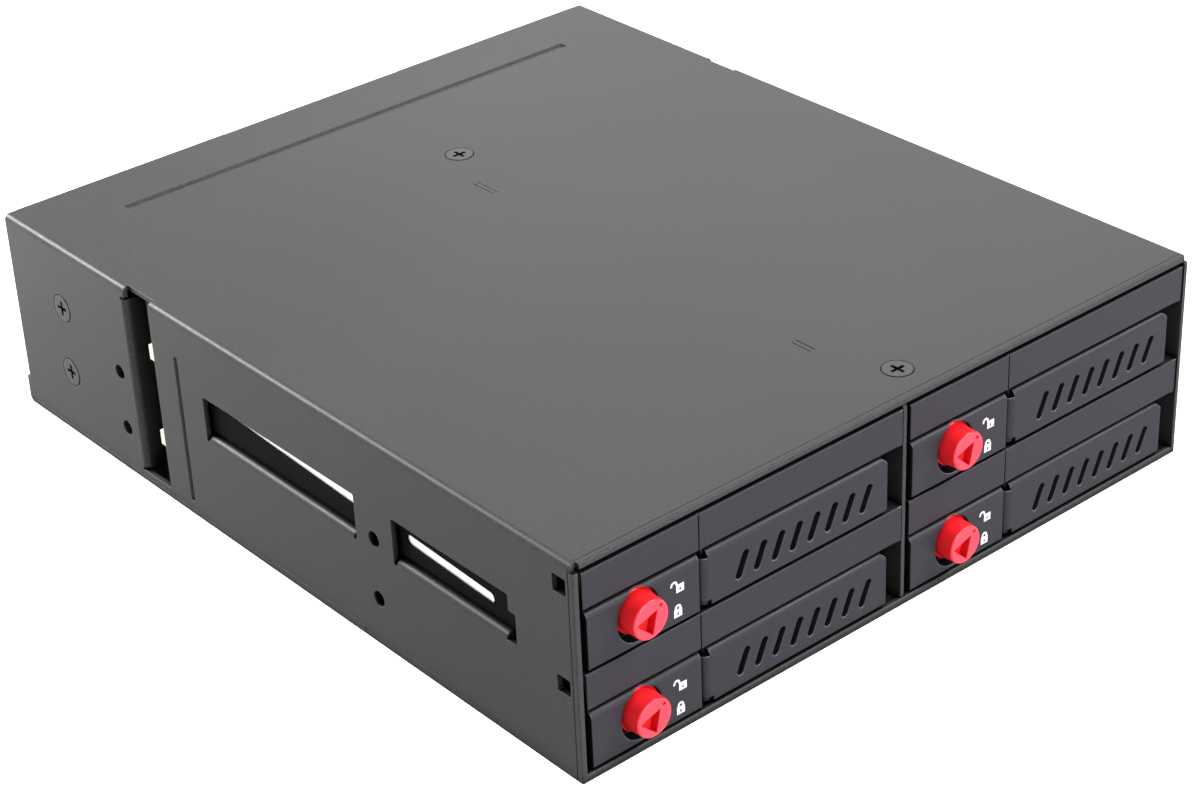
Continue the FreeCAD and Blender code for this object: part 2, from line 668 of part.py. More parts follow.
def fan_rotor(x):
    """Rotor cup with its blades and the stub shaft that runs in the motor plate."""
    middle = FAN_Y[0] + 4.9
    cup = rod((0, FAN_Y[0] + 0.8, 0), (0, 1, 0), 7.7, 8.4)
    cup = cup.makeFillet(0.9, [edge for edge in cup.Edges if edge.BoundBox.YMax < FAN_Y[0] + 1])
    shaft = rod((0, FAN_Y[0] + 8, 0), (0, 1, 0), 1.8, 1.0)
    blades = []
    for index in range(BLADES):
        one = blade()
        one.translate(vec(0, middle, 0))
        one.rotate(vec(0, 0, 0), vec(0, 1, 0), 360.0 * index / BLADES)
        blades.append(one)
    rotor = cup.multiFuse([shaft] + blades)
    rotor.translate(vec(x, 0, FAN_Z))
    return rotor


def fan_screw(x, z):
    head = rod((x, SKIN_END, z), (0, 1, 0), 0.9, 2.5)
    shank = rod((x, SKIN_END - 8, z), (0, 1, 0), 8, SCREW_R)
    return join([head, shank])


def fan_screws():
    return [fan_screw(a, b) for x in FAN_X for a, b in fan_corners(x)]


# ---- one tray, drawn with X from the bay's left side and Z from the bezel's foot ----
def slope_slot(start, end, x, width):
    """A long slot that sinks towards the front, following the spring strip."""
    middle = (start + end) / 2
    height = 2.25 + width / 2 + (middle - 23.2) * STRIP_SLOPE
    lean = math.degrees(math.atan(STRIP_SLOPE))
    return leaning_slot("yz", (middle, height + (STRIP_WIDTH - width) / 2), end - start, width, lean, x)


def tray_frame():
    """Folded tray: floor, two side walls with spring slots, and a riveted front flange."""
    left, right = FRAME_X
    path = [(left, FRAME_TOP), (left, FRAME_FLOOR), (right, FRAME_FLOOR), (right, FRAME_TOP)]
    body = folded("xz", path, FRAME_SHEET, BEND, (BEZEL_BACK, FRAME_END))
    flange_path = [(BEZEL_BACK, 7.0), (BEZEL_BACK, FRAME_FLOOR), (BEZEL_BACK + 4, FRAME_FLOOR)]
    inner = (left + 1.5, right - 1.5)
    body = cut(body, [box(inner, (BEZEL_BACK - 1, BEZEL_BACK + 2), (-1, 1))])
    body = join([body, folded("yz", flange_path, FRAME_SHEET, BEND, inner)])
    windows = [rounded_box("xy", (13.0, 58.6), span, (-1, 1), 3.0)
               for span in ((30.0, 52.0), (58.0, 80.0), (86.0, 108.0))]
    holes = [rod((x, y, -1), (0, 0, 1), 2, SCREW_R + 0.1) for x in DRIVE_HOLES_X for y in DRIVE_HOLES_Y]
    sides = (left - 1, right + 1)
    slots = [slope_slot(a, b, sides, STRIP_WIDTH) for a, b in SPRING_SLOTS]
    vents = [rounded_box("xz", (a, a + 8.0), (1.6, 5.6), (BEZEL_BACK - 1, BEZEL_BACK + 2), 1.0)
             for a in (29.0, 39.0, 49.0, 59.0)]
    return cut(body, windows + holes + slots + spring_beds(1.0) + vents)


def spring_beds(room):
    """Shallow beds inside both walls, reaching room further inwards than the wall face."""
    width = STRIP_WIDTH + 0.7
    inner_left = FRAME_X[0] + FRAME_SHEET
    inner_right = FRAME_X[1] - FRAME_SHEET
    return [slope_slot(*BED_Y, (inner_left - BED_DEPTH, inner_left + room), width),
            slope_slot(*BED_Y, (inner_right - room, inner_right + BED_DEPTH), width)]


def side_springs():
    """Bright spring strips that steady the drive; they show through the wall slots."""
    return spring_beds(0.0)


def bezel_channel():
    """C section across the front: the face strip with its roof and floor, open behind."""
    front = FACE
    path = [(CHANNEL_BACK, STRIP_Z[1]), (front, STRIP_Z[1]), (front, STRIP_Z[0]), (CHANNEL_BACK, STRIP_Z[0])]
    inner = [(CHANNEL_BACK, CHANNEL_FLOOR), (front + STRIP_WALL, CHANNEL_FLOOR),
             (front + STRIP_WALL, STRIP_Z[1] - ROOF), (CHANNEL_BACK, STRIP_Z[1] - ROOF)]
    return prism("yz", path + inner, BEZEL_X, [0, 0.25, 0.25, 0, 0, 0, 0, 0])


def bezel_block():
    """Lock block: a box open inside, its upper front edge well rounded."""
    back = 8.0
    radii = [0.25, 0.0, 0.0, EDGE_ROUND]
    shell = prism("yz", rectangle((FACE, back), (0, BLOCK_TOP)), BLOCK_X, radii)
    web = box((17.6, BLOCK_X[1]), (2.4, back), (BLOCK_TOP - 0.5, CHANNEL_FLOOR))
    rear_web = box(BLOCK_X, (5.6, CHANNEL_BACK), (BLOCK_TOP - 0.5, CHANNEL_FLOOR))
    room = box((BLOCK_X[0] + 1.1, BLOCK_X[1] - 1.1), (BAR_Y[0], back), (1.2, BLOCK_TOP - 1.2))
    return join([shell.cut(room), web, rear_web])


def bezel_back():
    """Back wall of the bezel with air windows and the bearing of the lock knob."""
    wall = box(BEZEL_X, (8.0, BEZEL_BACK), (0, CHANNEL_FLOOR))
    vents = [rounded_box("xz", (a, a + 8.0), (1.4, 10.2), (7, 11), 1.0) for a in (29.0, 39.0, 49.0, 59.0)]
    post = box((BEZEL_X[1] - 1.0, BEZEL_X[1]), (5.0, BEZEL_BACK), (0, STRIP_Z[0] + 0.2))
    bearing = rod((KNOB[0], 7, KNOB[1]), (0, 1, 0), 4, STEM_R + 0.05)
    return cut(join([wall, post]), vents + [bearing])


def bezel_ears():
    """Foot ear under the lever barrel and the end cap of the channel."""
    ear = join([rod((PIVOT[0], PIVOT[1], 0), (0, 0, 1), EAR_HEIGHT, EAR_R),
                box((PIVOT[0] - 0.8, PIVOT[0] + 0.8), (PIVOT[1], 8.2), (0, EAR_HEIGHT))])
    cap = box((BEZEL_X[1] - 1.0, BEZEL_X[1]), (FACE, CHANNEL_BACK), STRIP_Z)
    stop = box((SPRING_X[1], SPRING_X[1] + 1.4), (5.0, CHANNEL_BACK), (13.6, STRIP_Z[1] - 0.2))
    return [ear, cap, stop]


def knob_opening():
    """Opening of the lock block, a little taller than wide."""
    upper = rod((KNOB[0], -1, KNOB[1]), (0, 1, 0), 3.6, OPENING_R)
    lower = rod((KNOB[0], -1, KNOB[1] - OPENING_DROP), (0, 1, 0), 3.6, OPENING_R)
    return upper.fuse(lower)


def bar_guides():
    """Ribs that the latch bar slides on, with keepers behind both of its ends."""
    low = CHANNEL_FLOOR - 0.1
    high = STRIP_Z[1] - ROOF + 0.1
    inside = FACE + STRIP_WALL - 0.1
    ribs = [box(span, (inside, BAR_Y[1]), (low, BAR_Z[0] - SLIDE)) for span in GUIDE_X]
    ribs += [box(span, (inside, BAR_Y[0] - SLIDE), (low, high)) for span in GUIDE_X]
    keepers = [box(span, (BAR_Y[1] + SLIDE, BAR_Y[1] + 1.4), (low, high)) for span in GUIDE_X[::2]]
    return ribs + keepers


def tray_bezel():
    """Tray front: channel, lock block, back wall and the ears of the lever hinge."""
    body = join([bezel_channel(), bezel_block(), bezel_back()] + bezel_ears() + bar_guides())
    sector_slot = box((BLOCK_X[0] + 1.1, 17.6), (SECTOR_Y[0] - 0.3, SECTOR_Y[1] + 0.4), (5.0, CHANNEL_FLOOR + 1))
    post_room = box((PIVOT[0] - 1.2, PIVOT[0] + 4.2), (3.9, 7.6), (10.0, CHANNEL_FLOOR + 1))
    pin_hole = rod((PIVOT[0], PIVOT[1], -1), (0, 0, 1), CHANNEL_FLOOR + 1.0, PIN_R)
    seam = box((SEAM_X - 0.12, SEAM_X + 0.12), (FACE - 1, FACE + 0.3), (STRIP_Z[0] - 1, STRIP_Z[1] + 1))
    return cut(body, [sector_slot, post_room, pin_hole, seam, knob_opening()])


def lever_slots():
    slots = []
    for index in range(SLOTS):
        x = SLOT_FIRST + index * SLOT_PITCH
        slots.append(leaning_slot("xz", (x, SLOT_Z), SLOT_LENGTH, SLOT_WIDTH, 90 - SLOT_LEAN, (-1, 4)))
    return slots


def tray_lever():
    """Slotted lever with its barrel, tail arm and the post that drives the latch bar."""
    back = PIVOT[1]
    section = rectangle((FACE, back), (0.15, BLOCK_TOP))
    panel = prism("yz", section, (PIVOT[0], LEVER_END), [0.25, 0, 0, EDGE_ROUND])
    outline = rectangle((PIVOT[0], LEVER_END), (0.15, BLOCK_TOP))
    corner = prism("xz", outline, (-1, 5), [0, 0.5, 1.6, 0])
    panel = panel.common(corner)
    barrel = rod((PIVOT[0], PIVOT[1], LEVER_SOLE), (0, 0, 1), BLOCK_TOP - LEVER_SOLE, PIVOT_R)
    crown = prism("yz", section, (PIVOT[0] - PIVOT_R, PIVOT[0] + 1), [0, 0, 0, EDGE_ROUND])
    back_half = box((0, 70), (back, 9), (0, 12))
    barrel = barrel.common(crown.fuse(back_half))
    arm = rounded_box("xy", (PIVOT[0] - 0.8, PIVOT[0] + 0.8), (3.4, PIVOT[1] + POST_ARM + 0.8),
                      (7.6, 10.0), 0.7)
    post = rod((PIVOT[0], PIVOT[1] + POST_ARM, 9.0), (0, 0, 1), 7.6, POST_R)
    rib = box((PIVOT[0] + 4.0, LEVER_END - 2.0), (back - 0.3, back + 0.9), (8.6, 9.6))
    below = (-1, LEVER_SOLE)
    foot = [box((PIVOT[0] - 3, PIVOT[0] + 0.4), (-1, 5), below),
            box((PIVOT[0], PIVOT[0] + PIVOT_R + 0.4), (PIVOT[1] - 0.3, 5), below),
            rod((PIVOT[0], PIVOT[1], below[0]), (0, 0, 1), 1 + LEVER_SOLE, EAR_R + 0.3)]
    notch = box((PIVOT[0] - 3, PIVOT[0] - 0.3), (-1, PIVOT[1]), (BLOCK_TOP - 1.3, 12))
    hollow = box((PIVOT[0] + PIVOT_R + 0.6, LEVER_END - LEVER_WALL), (FACE + LEVER_WALL, back + 0.1),
                 (1.3, 8.5))
    bore = rod((PIVOT[0], PIVOT[1], -1), (0, 0, 1), 13, PIN_R + 0.03)
    return cut(join([panel, barrel, arm, post, rib]), lever_slots() + foot + [notch, hollow, bore])


def lever_pin():
    return rod((PIVOT[0], PIVOT[1], 0.1), (0, 0, 1), CHANNEL_FLOOR - 0.2, PIN_R)


def latch_bar():
    """Sliding bar: bevelled tip, arc notch over the lock sector, spring tab and fork."""
    tip = [(BAR_X[0], BAR_Y[0]), (BAR_X[0] + 24.0, BAR_Y[0]), (BAR_X[0] + 24.0, 3.4), (BAR_X[1], 3.4),
           (BAR_X[1], 7.6), (24.6, 7.6), (24.6, BAR_Y[1]), (BAR_X[0] + 1.6, BAR_Y[1])]
    body = prism("xy", tip, BAR_Z, [0, 0, 0, 0.5, 0.5, 0.5, 0, 0])
    tab = box((SPRING_X[0] - 1.4, SPRING_X[0]), (BAR_Y[0] + 1, 7.8), (13.5, BAR_Z[1]))
    fork = rounded_box("xy", (PIVOT[0] - 1.0, PIVOT[0] + 1.0), (4.0, 6.8), (13, 18), 0.9)
    notch = rod((KNOB[0], BAR_Y[0] - 1, KNOB[1]), (0, 1, 0), 3.2, SECTOR_R + 0.25)
    body = cut(body, [fork, notch])
    return join([body, tab.cut(notch)])


def latch_spring():
    """Coil spring that presses the bar towards the side wall."""
    length = SPRING_X[1] - SPRING_X[0] - 2 * WIRE_R
    helix = Part.makeHelix(length / SPRING_TURNS, length, SPRING_R)
    turns = [2 * math.pi * side / WIRE_SIDES for side in range(WIRE_SIDES + 1)]
    corners = [vec(SPRING_R + WIRE_R * math.cos(a), 0, WIRE_R * math.sin(a)) for a in turns]
    profile = Part.Wire(Part.makePolygon(corners).Edges)
    coil = Part.Wire(helix).makePipeShell([profile], True, True)
    coil.rotate(vec(0, 0, 0), vec(0, 1, 0), 90)
    coil.translate(vec(SPRING_X[0] + WIRE_R, SPRING_AXIS[0], SPRING_AXIS[1]))
    return coil


def lock_knob():
    """Red lock knob with its stem, its locking sector and a three-sided key recess."""
    x, z = KNOB
    front = FACE - KNOB_PROUD
    disc = cone((x, front, z), (0, 1, 0), 1.0 - front, KNOB_FACE_R, KNOB_R)
    disc = disc.makeFillet(0.25, [edge for edge in disc.Edges if edge.BoundBox.YMax < front + 0.1])
    neck = rod((x, 0.5, z), (0, 1, 0), 3.4, 2.6)
    stem = rod((x, 3.0, z), (0, 1, 0), 6.6, STEM_R)
    span = SECTOR_ANGLES[1] - SECTOR_ANGLES[0]
    height = SECTOR_Y[1] - SECTOR_Y[0]
    sector = Part.makeCylinder(SECTOR_R, height, vec(0, 0, 0), vec(0, 0, 1), span)
    sector.rotate(vec(0, 0, 0), vec(0, 0, 1), SECTOR_ANGLES[0])
    sector.rotate(vec(0, 0, 0), vec(1, 0, 0), 90)
    sector.translate(vec(x, SECTOR_Y[1], z))
    flange = rod((x, 0.9, z), (0, 1, 0), 0.9, KNOB_FLANGE_R)
    reach = 2 * KNOB_R
    notch = prism("xz", [(x, z), (x - 0.7 * reach, z - 0.7 * reach), (x + 0.5 * reach, z - 0.87 * reach)],
                  (1.0, 2.0))
    turns = [math.radians(KEY_TURN + side * 120) for side in range(3)]
    key = [(x + KEY_SHIFT + KEY_R * math.cos(a), z + KEY_SHIFT + KEY_R * math.sin(a)) for a in turns]
    recess = prism("xz", key, (front - 1, front + KEY_DEPTH), [0.3] * 3)
    dot = rod((x + 2.0, front - 1, z + 2.0), (0, 1, 0), 1.25, 0.4)
    return cut(join([disc, flange.cut(notch), neck, stem, sector]), [recess, dot])


TRAY_PARTS = {
    "frame": tray_frame,
    "side_springs": side_springs,
    "bezel": tray_bezel,
    "lever": tray_lever,
    "lever_pin": lever_pin,
    "latch_bar": latch_bar,
    "latch_spring": latch_spring,
    "lock_knob": lock_knob,
}
COLUMNS = ("left", "right")
ROWS = ("lower", "upper")


def save(name, shape):
    solids = shape if isinstance(shape, list) else [shape]
    whole = solids[0].copy() if len(solids) == 1 else Part.Compound(solids)
    whole.translate(vec(0, FRONT_Y, 0))
    whole.exportStep("parts/" + name + ".step")
    state = "ok" if whole.isValid() else "INVALID"
    print(name, len(whole.Solids), round(whole.Volume, 1), state)


def build_case():
    save("cover_shell", cover_shell())
    save("base_pan", base_pan())
    save("centre_divider", centre_divider())
    save("rear_bracket", rear_bracket())
    save("cover_side_screws", side_screws())
    save("cover_top_screws", top_screws())


def build_inside():
    save("backplane_board", backplane_board())
    save("backplane_bracket", backplane_bracket())
    save("backplane_screws", board_screws())
    save("link_board", link_board())
    save("rear_board", rear_board())
    for number, x in enumerate(PORT_X, 1):
        save("data_port_" + str(number), data_port(x))
    for side, x in zip(COLUMNS, INLET_X):
        save("power_inlet_" + side, power_inlet(x))
    for side, x in zip(COLUMNS, FAN_X):
        save("fan_housing_" + side, fan_housing(x))
        save("fan_rotor_" + side, fan_rotor(x))
    save("fan_screws", fan_screws())


def build_trays():
    shapes = {name: make() for name, make in TRAY_PARTS.items()}
    for column, side in enumerate(COLUMNS):
        for row, level in enumerate(ROWS):
            place = vec(BAY_X[column], 0, TRAY_Z[row])
            save("_".join(("drive_socket", level, side)), place_socket(column, row))
            for name, shape in shapes.items():
                solids = shape if isinstance(shape, list) else [shape]
                moved = [solid.copy() for solid in solids]
                for solid in moved:
                    solid.translate(place)
                save("_".join(("tray", level, side, name)), moved)


os.makedirs("parts", exist_ok=True)
build_case()
build_inside()
build_trays()
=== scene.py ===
import json
import logging
import math
from collections.abc import Iterator
from dataclasses import dataclass
from enum import Enum

import bmesh
import bpy
from mathutils import Matrix, Vector


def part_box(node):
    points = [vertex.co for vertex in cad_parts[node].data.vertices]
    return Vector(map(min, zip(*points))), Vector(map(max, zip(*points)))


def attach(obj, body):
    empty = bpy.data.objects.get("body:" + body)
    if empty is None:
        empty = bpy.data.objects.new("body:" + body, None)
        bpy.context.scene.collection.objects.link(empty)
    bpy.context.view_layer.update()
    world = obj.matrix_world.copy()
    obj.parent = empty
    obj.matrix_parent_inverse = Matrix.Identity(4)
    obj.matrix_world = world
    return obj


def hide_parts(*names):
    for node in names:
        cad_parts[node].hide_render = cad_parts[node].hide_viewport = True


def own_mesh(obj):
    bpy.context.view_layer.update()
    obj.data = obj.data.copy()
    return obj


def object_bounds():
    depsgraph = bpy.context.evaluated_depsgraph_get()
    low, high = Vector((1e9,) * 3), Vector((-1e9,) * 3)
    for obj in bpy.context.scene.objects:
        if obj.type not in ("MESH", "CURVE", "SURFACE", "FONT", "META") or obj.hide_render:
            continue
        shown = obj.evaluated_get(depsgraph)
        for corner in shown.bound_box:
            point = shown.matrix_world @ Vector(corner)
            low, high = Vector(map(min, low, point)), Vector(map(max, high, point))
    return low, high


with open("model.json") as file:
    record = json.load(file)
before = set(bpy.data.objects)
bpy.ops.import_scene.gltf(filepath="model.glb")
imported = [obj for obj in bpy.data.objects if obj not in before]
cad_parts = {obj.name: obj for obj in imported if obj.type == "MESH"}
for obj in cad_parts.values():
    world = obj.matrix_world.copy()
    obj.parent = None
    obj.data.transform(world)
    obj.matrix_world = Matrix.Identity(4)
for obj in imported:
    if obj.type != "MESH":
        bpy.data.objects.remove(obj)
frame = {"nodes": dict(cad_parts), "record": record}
CAD_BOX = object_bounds()

# A hot swap drive cage: a dark folded steel case with four sliding trays, each closed by a slotted
# swing lever and a red key lock. Lengths in this file are millimetres unless a name says otherwise;
# the frame is in metres.
LOG = logging.getLogger("drive_cage")
MM = 0.001
SKY_SAMPLES = 8
EDGE_SAMPLES = 6
COLUMNS = ("left", "right")
ROWS = ("lower", "upper")

# the knob's axis, right of and above a bezel's lower left corner
KNOB_FROM_CORNER = (11.15, 6.2)

# turns a shape that was made flat on the ground to face along Y
UPRIGHT = Matrix.Rotation(math.pi / 2, 3, "X")


def mm(*values: float) -> Vector:
    """A point or direction given in millimetres, as metres.

    Args:
        *values: The three coordinates in millimetres.

    Returns:
        The same point in metres.
    """
    return Vector(values) * MM


def each_tray() -> Iterator[tuple[str, str]]:
    """Go through the trays.

    Returns:
        Every tray's name with its place in the cage, such as lower_left.
    """
    for side in COLUMNS:
        for level in ROWS:
            yield f"tray_{level}_{side}", f"{level}_{side}"


class Axis(Enum):
    """The axes that a pattern or a surface can lie along."""

    X = "X"
    Y = "Y"
    Z = "Z"


# ---- finishes ----
@dataclass(frozen=True)
class HollowShade:
    """A kind of hollow that light doesn't reach, and how dark its painted shade gets.

    The reach in millimetres says how far away a neighbouring wall still counts. The share of open sky
    at and below closed gets the deepest factor, and the share at and above clear is an open face.
    """

    reach: float
    deepest: float
    closed: float = 0.25
    clear: float = 0.8


# Painted shade: fine dark lines in narrow gaps between parts, darker slots and deep gaps, and a darker
# key recess in the lock knobs.
FINE_GAP_SHADE = HollowShade(1.0, 0.15, 0.6, 0.96)
DEEP_GAP_SHADE = HollowShade(6.0, 0.1)
KEY_RECESS_SHADE = HollowShade(3.0, 0.5)


class Recipe:
    """A node material while it is put together."""

    def __init__(self, name: str) -> None:
        """Start a material with an empty surface.

        Args:
            name: The material's name.
        """
        self.material = bpy.data.materials.new(name)
        self.material.use_nodes = True
        self.tree = self.material.node_tree
        self.shader = self.tree.nodes["Principled BSDF"]
        self.place = self.tree.nodes.new("ShaderNodeTexCoord").outputs["Object"]

    def join(self, source: bpy.types.NodeSocket, target: bpy.types.NodeSocket) -> None:
        """Link an output to an input."""
        self.tree.links.new(source, target)

    def grain(self, scale: float, detail: float = 2.0) -> bpy.types.NodeSocket:
        """An even noise over the piece.

        Args:
            scale: Grains per metre.
            detail: Octaves of finer noise laid over it.

        Returns:
            The noise value, about 0.5 on average.
        """
        noise = self.tree.nodes.new("ShaderNodeTexNoise")
        noise.inputs["Scale"].default_value = scale
        noise.inputs["Detail"].default_value = detail
        self.join(self.place, noise.inputs["Vector"])
        return noise.outputs["Fac"]

    def spread(self, source: bpy.types.NodeSocket, low: float, high: float,
               first: float = 0.3, last: float = 0.7) -> bpy.types.NodeSocket:
        """Stretch a value onto a new range.

        Args:
            source: The value to stretch.
            low: The result where the source is at first.
            high: The result where the source is at last.
            first: The source's lower end.
            last: The source's upper end.

        Returns:
            The stretched value, held inside the new range.
        """
        span = self.tree.nodes.new("ShaderNodeMapRange")
        self.join(source, span.inputs["Value"])
        for name, value in (("From Min", first), ("From Max", last), ("To Min", low), ("To Max", high)):
            span.inputs[name].default_value = value
        return span.outputs["Result"]

    def tint(self, factor: bpy.types.NodeSocket, low: tuple[float, float, float],
             high: tuple[float, float, float]) -> bpy.types.NodeSocket:
        """Blend two colours.

        Args:
            factor: 0 gives the first colour and 1 the second.
            low: The first colour.
            high: The second colour.

        Returns:
            The blended colour.
        """
        mix = self.tree.nodes.new("ShaderNodeMix")
        mix.data_type = "RGBA"
        self.join(factor, mix.inputs["Factor"])
        mix.inputs["A"].default_value = (*low, 1.0)
        mix.inputs["B"].default_value = (*high, 1.0)
        return mix.outputs["Result"]

    def relief(self, height: bpy.types.NodeSocket, strength: float, depth: float,
               softened: float = 0.0) -> None:
        """Raise the surface by a height pattern.

        Args:
            height: The pattern.
            strength: How strongly it shows.
            depth: Its real height in millimetres.
            softened: Radius in millimetres by which the paint rounds every sharp edge.
        """
        bump = self.tree.nodes.new("ShaderNodeBump")
        bump.inputs["Strength"].default_value = strength
        bump.inputs["Distance"].default_value = depth * MM
        if softened > 0.0:
            edge = self.tree.nodes.new("ShaderNodeBevel")
            edge.samples = EDGE_SAMPLES
            edge.inputs["Radius"].default_value = softened * MM
            self.join(edge.outputs["Normal"], bump.inputs["Normal"])
        self.join(height, bump.inputs["Height"])
        self.join(bump.outputs["Normal"], self.shader.inputs["Normal"])

    def painted_shade(self, kind: HollowShade) -> bpy.types.NodeSocket:
        """How open the surface lies, as a factor of painted shade: low in slots, gaps and corners, 1 on
        open faces.

        Args:
            kind: The kind of hollow to look for.

        Returns:
            The openness, from the hollow's deepest factor to 1.
        """
        sky = self.tree.nodes.new("ShaderNodeAmbientOcclusion")
        sky.samples = SKY_SAMPLES
        sky.inputs["Distance"].default_value = kind.reach * MM
        return self.spread(sky.outputs["AO"], kind.deepest, 1.0, kind.closed, kind.clear)

    def blended(self, kind: str, first: bpy.types.NodeSocket,
                second: bpy.types.NodeSocket) -> bpy.types.NodeSocket:
        """Blend two colours in full.

        Args:
            kind: The blend's type.
            first: The lower colour.
            second: The colour or value laid over it.

        Returns:
            The blended colour.
        """
        mix = self.tree.nodes.new("ShaderNodeMix")
        mix.data_type = "RGBA"
        mix.blend_type = kind
        mix.inputs["Factor"].default_value = 1.0
        self.join(first, mix.inputs["A"])
        self.join(second, mix.inputs["B"])
        return mix.outputs["Result"]

    def shaded(self, colour: bpy.types.NodeSocket, factor: bpy.types.NodeSocket) -> bpy.types.NodeSocket:
        """Darken or lighten a colour: by painted shade in its hollows, a painted highlight on its upward
        edges, a broad unevenness of tone or a mask.
        """
        return self.blended("MULTIPLY", colour, factor)

    def added(self, colour: bpy.types.NodeSocket, more: bpy.types.NodeSocket) -> bpy.types.NodeSocket:
        """Add one colour to another."""
        return self.blended("ADD", colour, more)

    def painted_edge_highlight(self, radius: float, lightest: float) -> bpy.types.NodeSocket:
        """A painted highlight: how much paler the sharp edges that face up are painted than the faces
        beside them, as if they caught the light from above.

        Args:
            radius: How far from the edge in millimetres the painted highlight reaches.
            lightest: The factor on the colour right on an edge.

        Returns:
            The factor, 1 on flat faces.
        """
        edge = self.tree.nodes.new("ShaderNodeBevel")
        edge.samples = EDGE_SAMPLES
        edge.inputs["Radius"].default_value = radius * MM
        flat = self.tree.nodes.new("ShaderNodeNewGeometry")
        turned = self.tree.nodes.new("ShaderNodeVectorMath")
        turned.operation = "DOT_PRODUCT"
        self.join(edge.outputs["Normal"], turned.inputs[0])
        self.join(flat.outputs["Normal"], turned.inputs[1])
        split = self.tree.nodes.new("ShaderNodeSeparateXYZ")
        self.join(edge.outputs["Normal"], split.inputs["Vector"])
        edge_lit = self.tree.nodes.new("ShaderNodeMath")
        edge_lit.operation = "MULTIPLY"
        self.join(self.spread(turned.outputs["Value"], 1.0, 0.0, 0.82, 0.985), edge_lit.inputs[0])
        self.join(self.spread(split.outputs["Z"], 0.0, 1.0, 0.1, 0.45), edge_lit.inputs[1])
        return self.spread(edge_lit.outputs["Value"], 1.0, lightest, 0.0, 1.0)

    def painted_light_and_shade(self, colour: bpy.types.NodeSocket, edge: float, edge_highlight: float) -> bpy.types.NodeSocket:
        """Lay painted highlights on the upward edges, and painted shade as dark fine lines and dark
        gaps, over a colour.

        Args:
            colour: The clean colour.
            edge: How far the painted edge highlight reaches, in millimetres.
            edge_highlight: The factor on the colour right on an edge.

        Returns:
            The colour with its painted highlights and painted shade.
        """
        edge_lit = self.shaded(colour, self.painted_edge_highlight(edge, edge_highlight))
        line_shaded = self.shaded(edge_lit, self.painted_shade(FINE_GAP_SHADE))
        return self.shaded(line_shaded, self.painted_shade(DEEP_GAP_SHADE))

    def facing(self, axis: Axis) -> bpy.types.NodeSocket:
        """How squarely the surface faces along an axis.

        Args:
            axis: The axis.

        Returns:
            1 where the surface faces along the axis either way, 0 where it lies along it.
        """
        split = self.tree.nodes.new("ShaderNodeSeparateXYZ")
        self.join(self.tree.nodes.new("ShaderNodeTexCoord").outputs["Normal"], split.inputs["Vector"])
        either = self.tree.nodes.new("ShaderNodeMath")
        either.operation = "ABSOLUTE"
        self.join(split.outputs[axis.value], either.inputs[0])
        return either.outputs["Value"]

    def along(self, axis: Axis) -> bpy.types.NodeSocket:
        """One coordinate of the surface point, in metres.

        Args:
            axis: The coordinate to read.

        Returns:
            The coordinate's value.
        """
        split = self.tree.nodes.new("ShaderNodeSeparateXYZ")
        self.join(self.place, split.inputs["Vector"])
        return split.outputs[axis.value]


@dataclass(frozen=True)
class PowderCoat:
    """Satin powder paint on steel: a fine orange-peel grain with darker and lighter specks."""

    name: str
    shade: tuple[float, float, float]
    speck: float = 1.35
    gloss: float = 0.42
    grains: float = 2600.0
    edge: float = 0.25
    sheen: float = 0.17
    # how much paler the upward edges are painted: a painted highlight
    edge_highlight: float = 3.0

    def build(self) -> bpy.types.Material:
        """Make the material."""
        recipe = Recipe(self.name)
        fine = recipe.grain(self.grains, 3.0)
        broad = recipe.spread(recipe.grain(22.0, 1.0), 0.0, 1.0)
        low = tuple(c * (2.0 - self.speck) for c in self.shade)
        high = tuple(c * self.speck for c in self.shade)
        specks = recipe.tint(recipe.spread(fine, 0.0, 1.0), low, high)
        wide = recipe.shaded(specks, recipe.tint(broad, (0.94, 0.94, 0.95), (1.05, 1.05, 1.04)))
        # painted highlight on the upward edges, painted shade in fine gaps and deep hollows
        recipe.join(recipe.painted_light_and_shade(wide, self.edge, self.edge_highlight), recipe.shader.inputs["Base Color"])
        haze = recipe.spread(fine, self.gloss - 0.05, self.gloss + 0.1)
        recipe.join(haze, recipe.shader.inputs["Roughness"])
        recipe.shader.inputs["Specular IOR Level"].default_value = self.sheen
        recipe.relief(fine, 0.22, 0.04, self.edge)
        return recipe.material


@dataclass(frozen=True)
class MouldedPlastic:
    """Hard plastic from a textured or smooth mould."""

    name: str
    shade: tuple[float, float, float]
    roughness: float = 0.45
    grains: float = 3600.0
    grain_depth: float = 0.02
    contrast: float = 0.12
    edge: float = 0.25
    sheen: float = 0.17
    # how much paler the upward edges are painted: a painted highlight
    edge_highlight: float = 1.0

    def build(self) -> bpy.types.Material:
        """Make the material."""
        recipe = Recipe(self.name)
        fine = recipe.grain(self.grains, 2.0)
        low = tuple(c * (1.0 - self.contrast) for c in self.shade)
        high = tuple(c * (1.0 + self.contrast) for c in self.shade)
        plain = recipe.tint(recipe.spread(fine, 0.0, 1.0), low, high)
        # painted highlight on the upward edges, painted shade in fine gaps and deep hollows
        recipe.join(recipe.painted_light_and_shade(plain, self.edge, self.edge_highlight), recipe.shader.inputs["Base Color"])
        flow = recipe.spread(recipe.grain(60.0, 1.0), self.roughness - 0.04, self.roughness + 0.06)
        recipe.join(flow, recipe.shader.inputs["Roughness"])
        recipe.shader.inputs["Specular IOR Level"].default_value = self.sheen
        recipe.relief(fine, 0.18, self.grain_depth, self.edge)
        return recipe.material


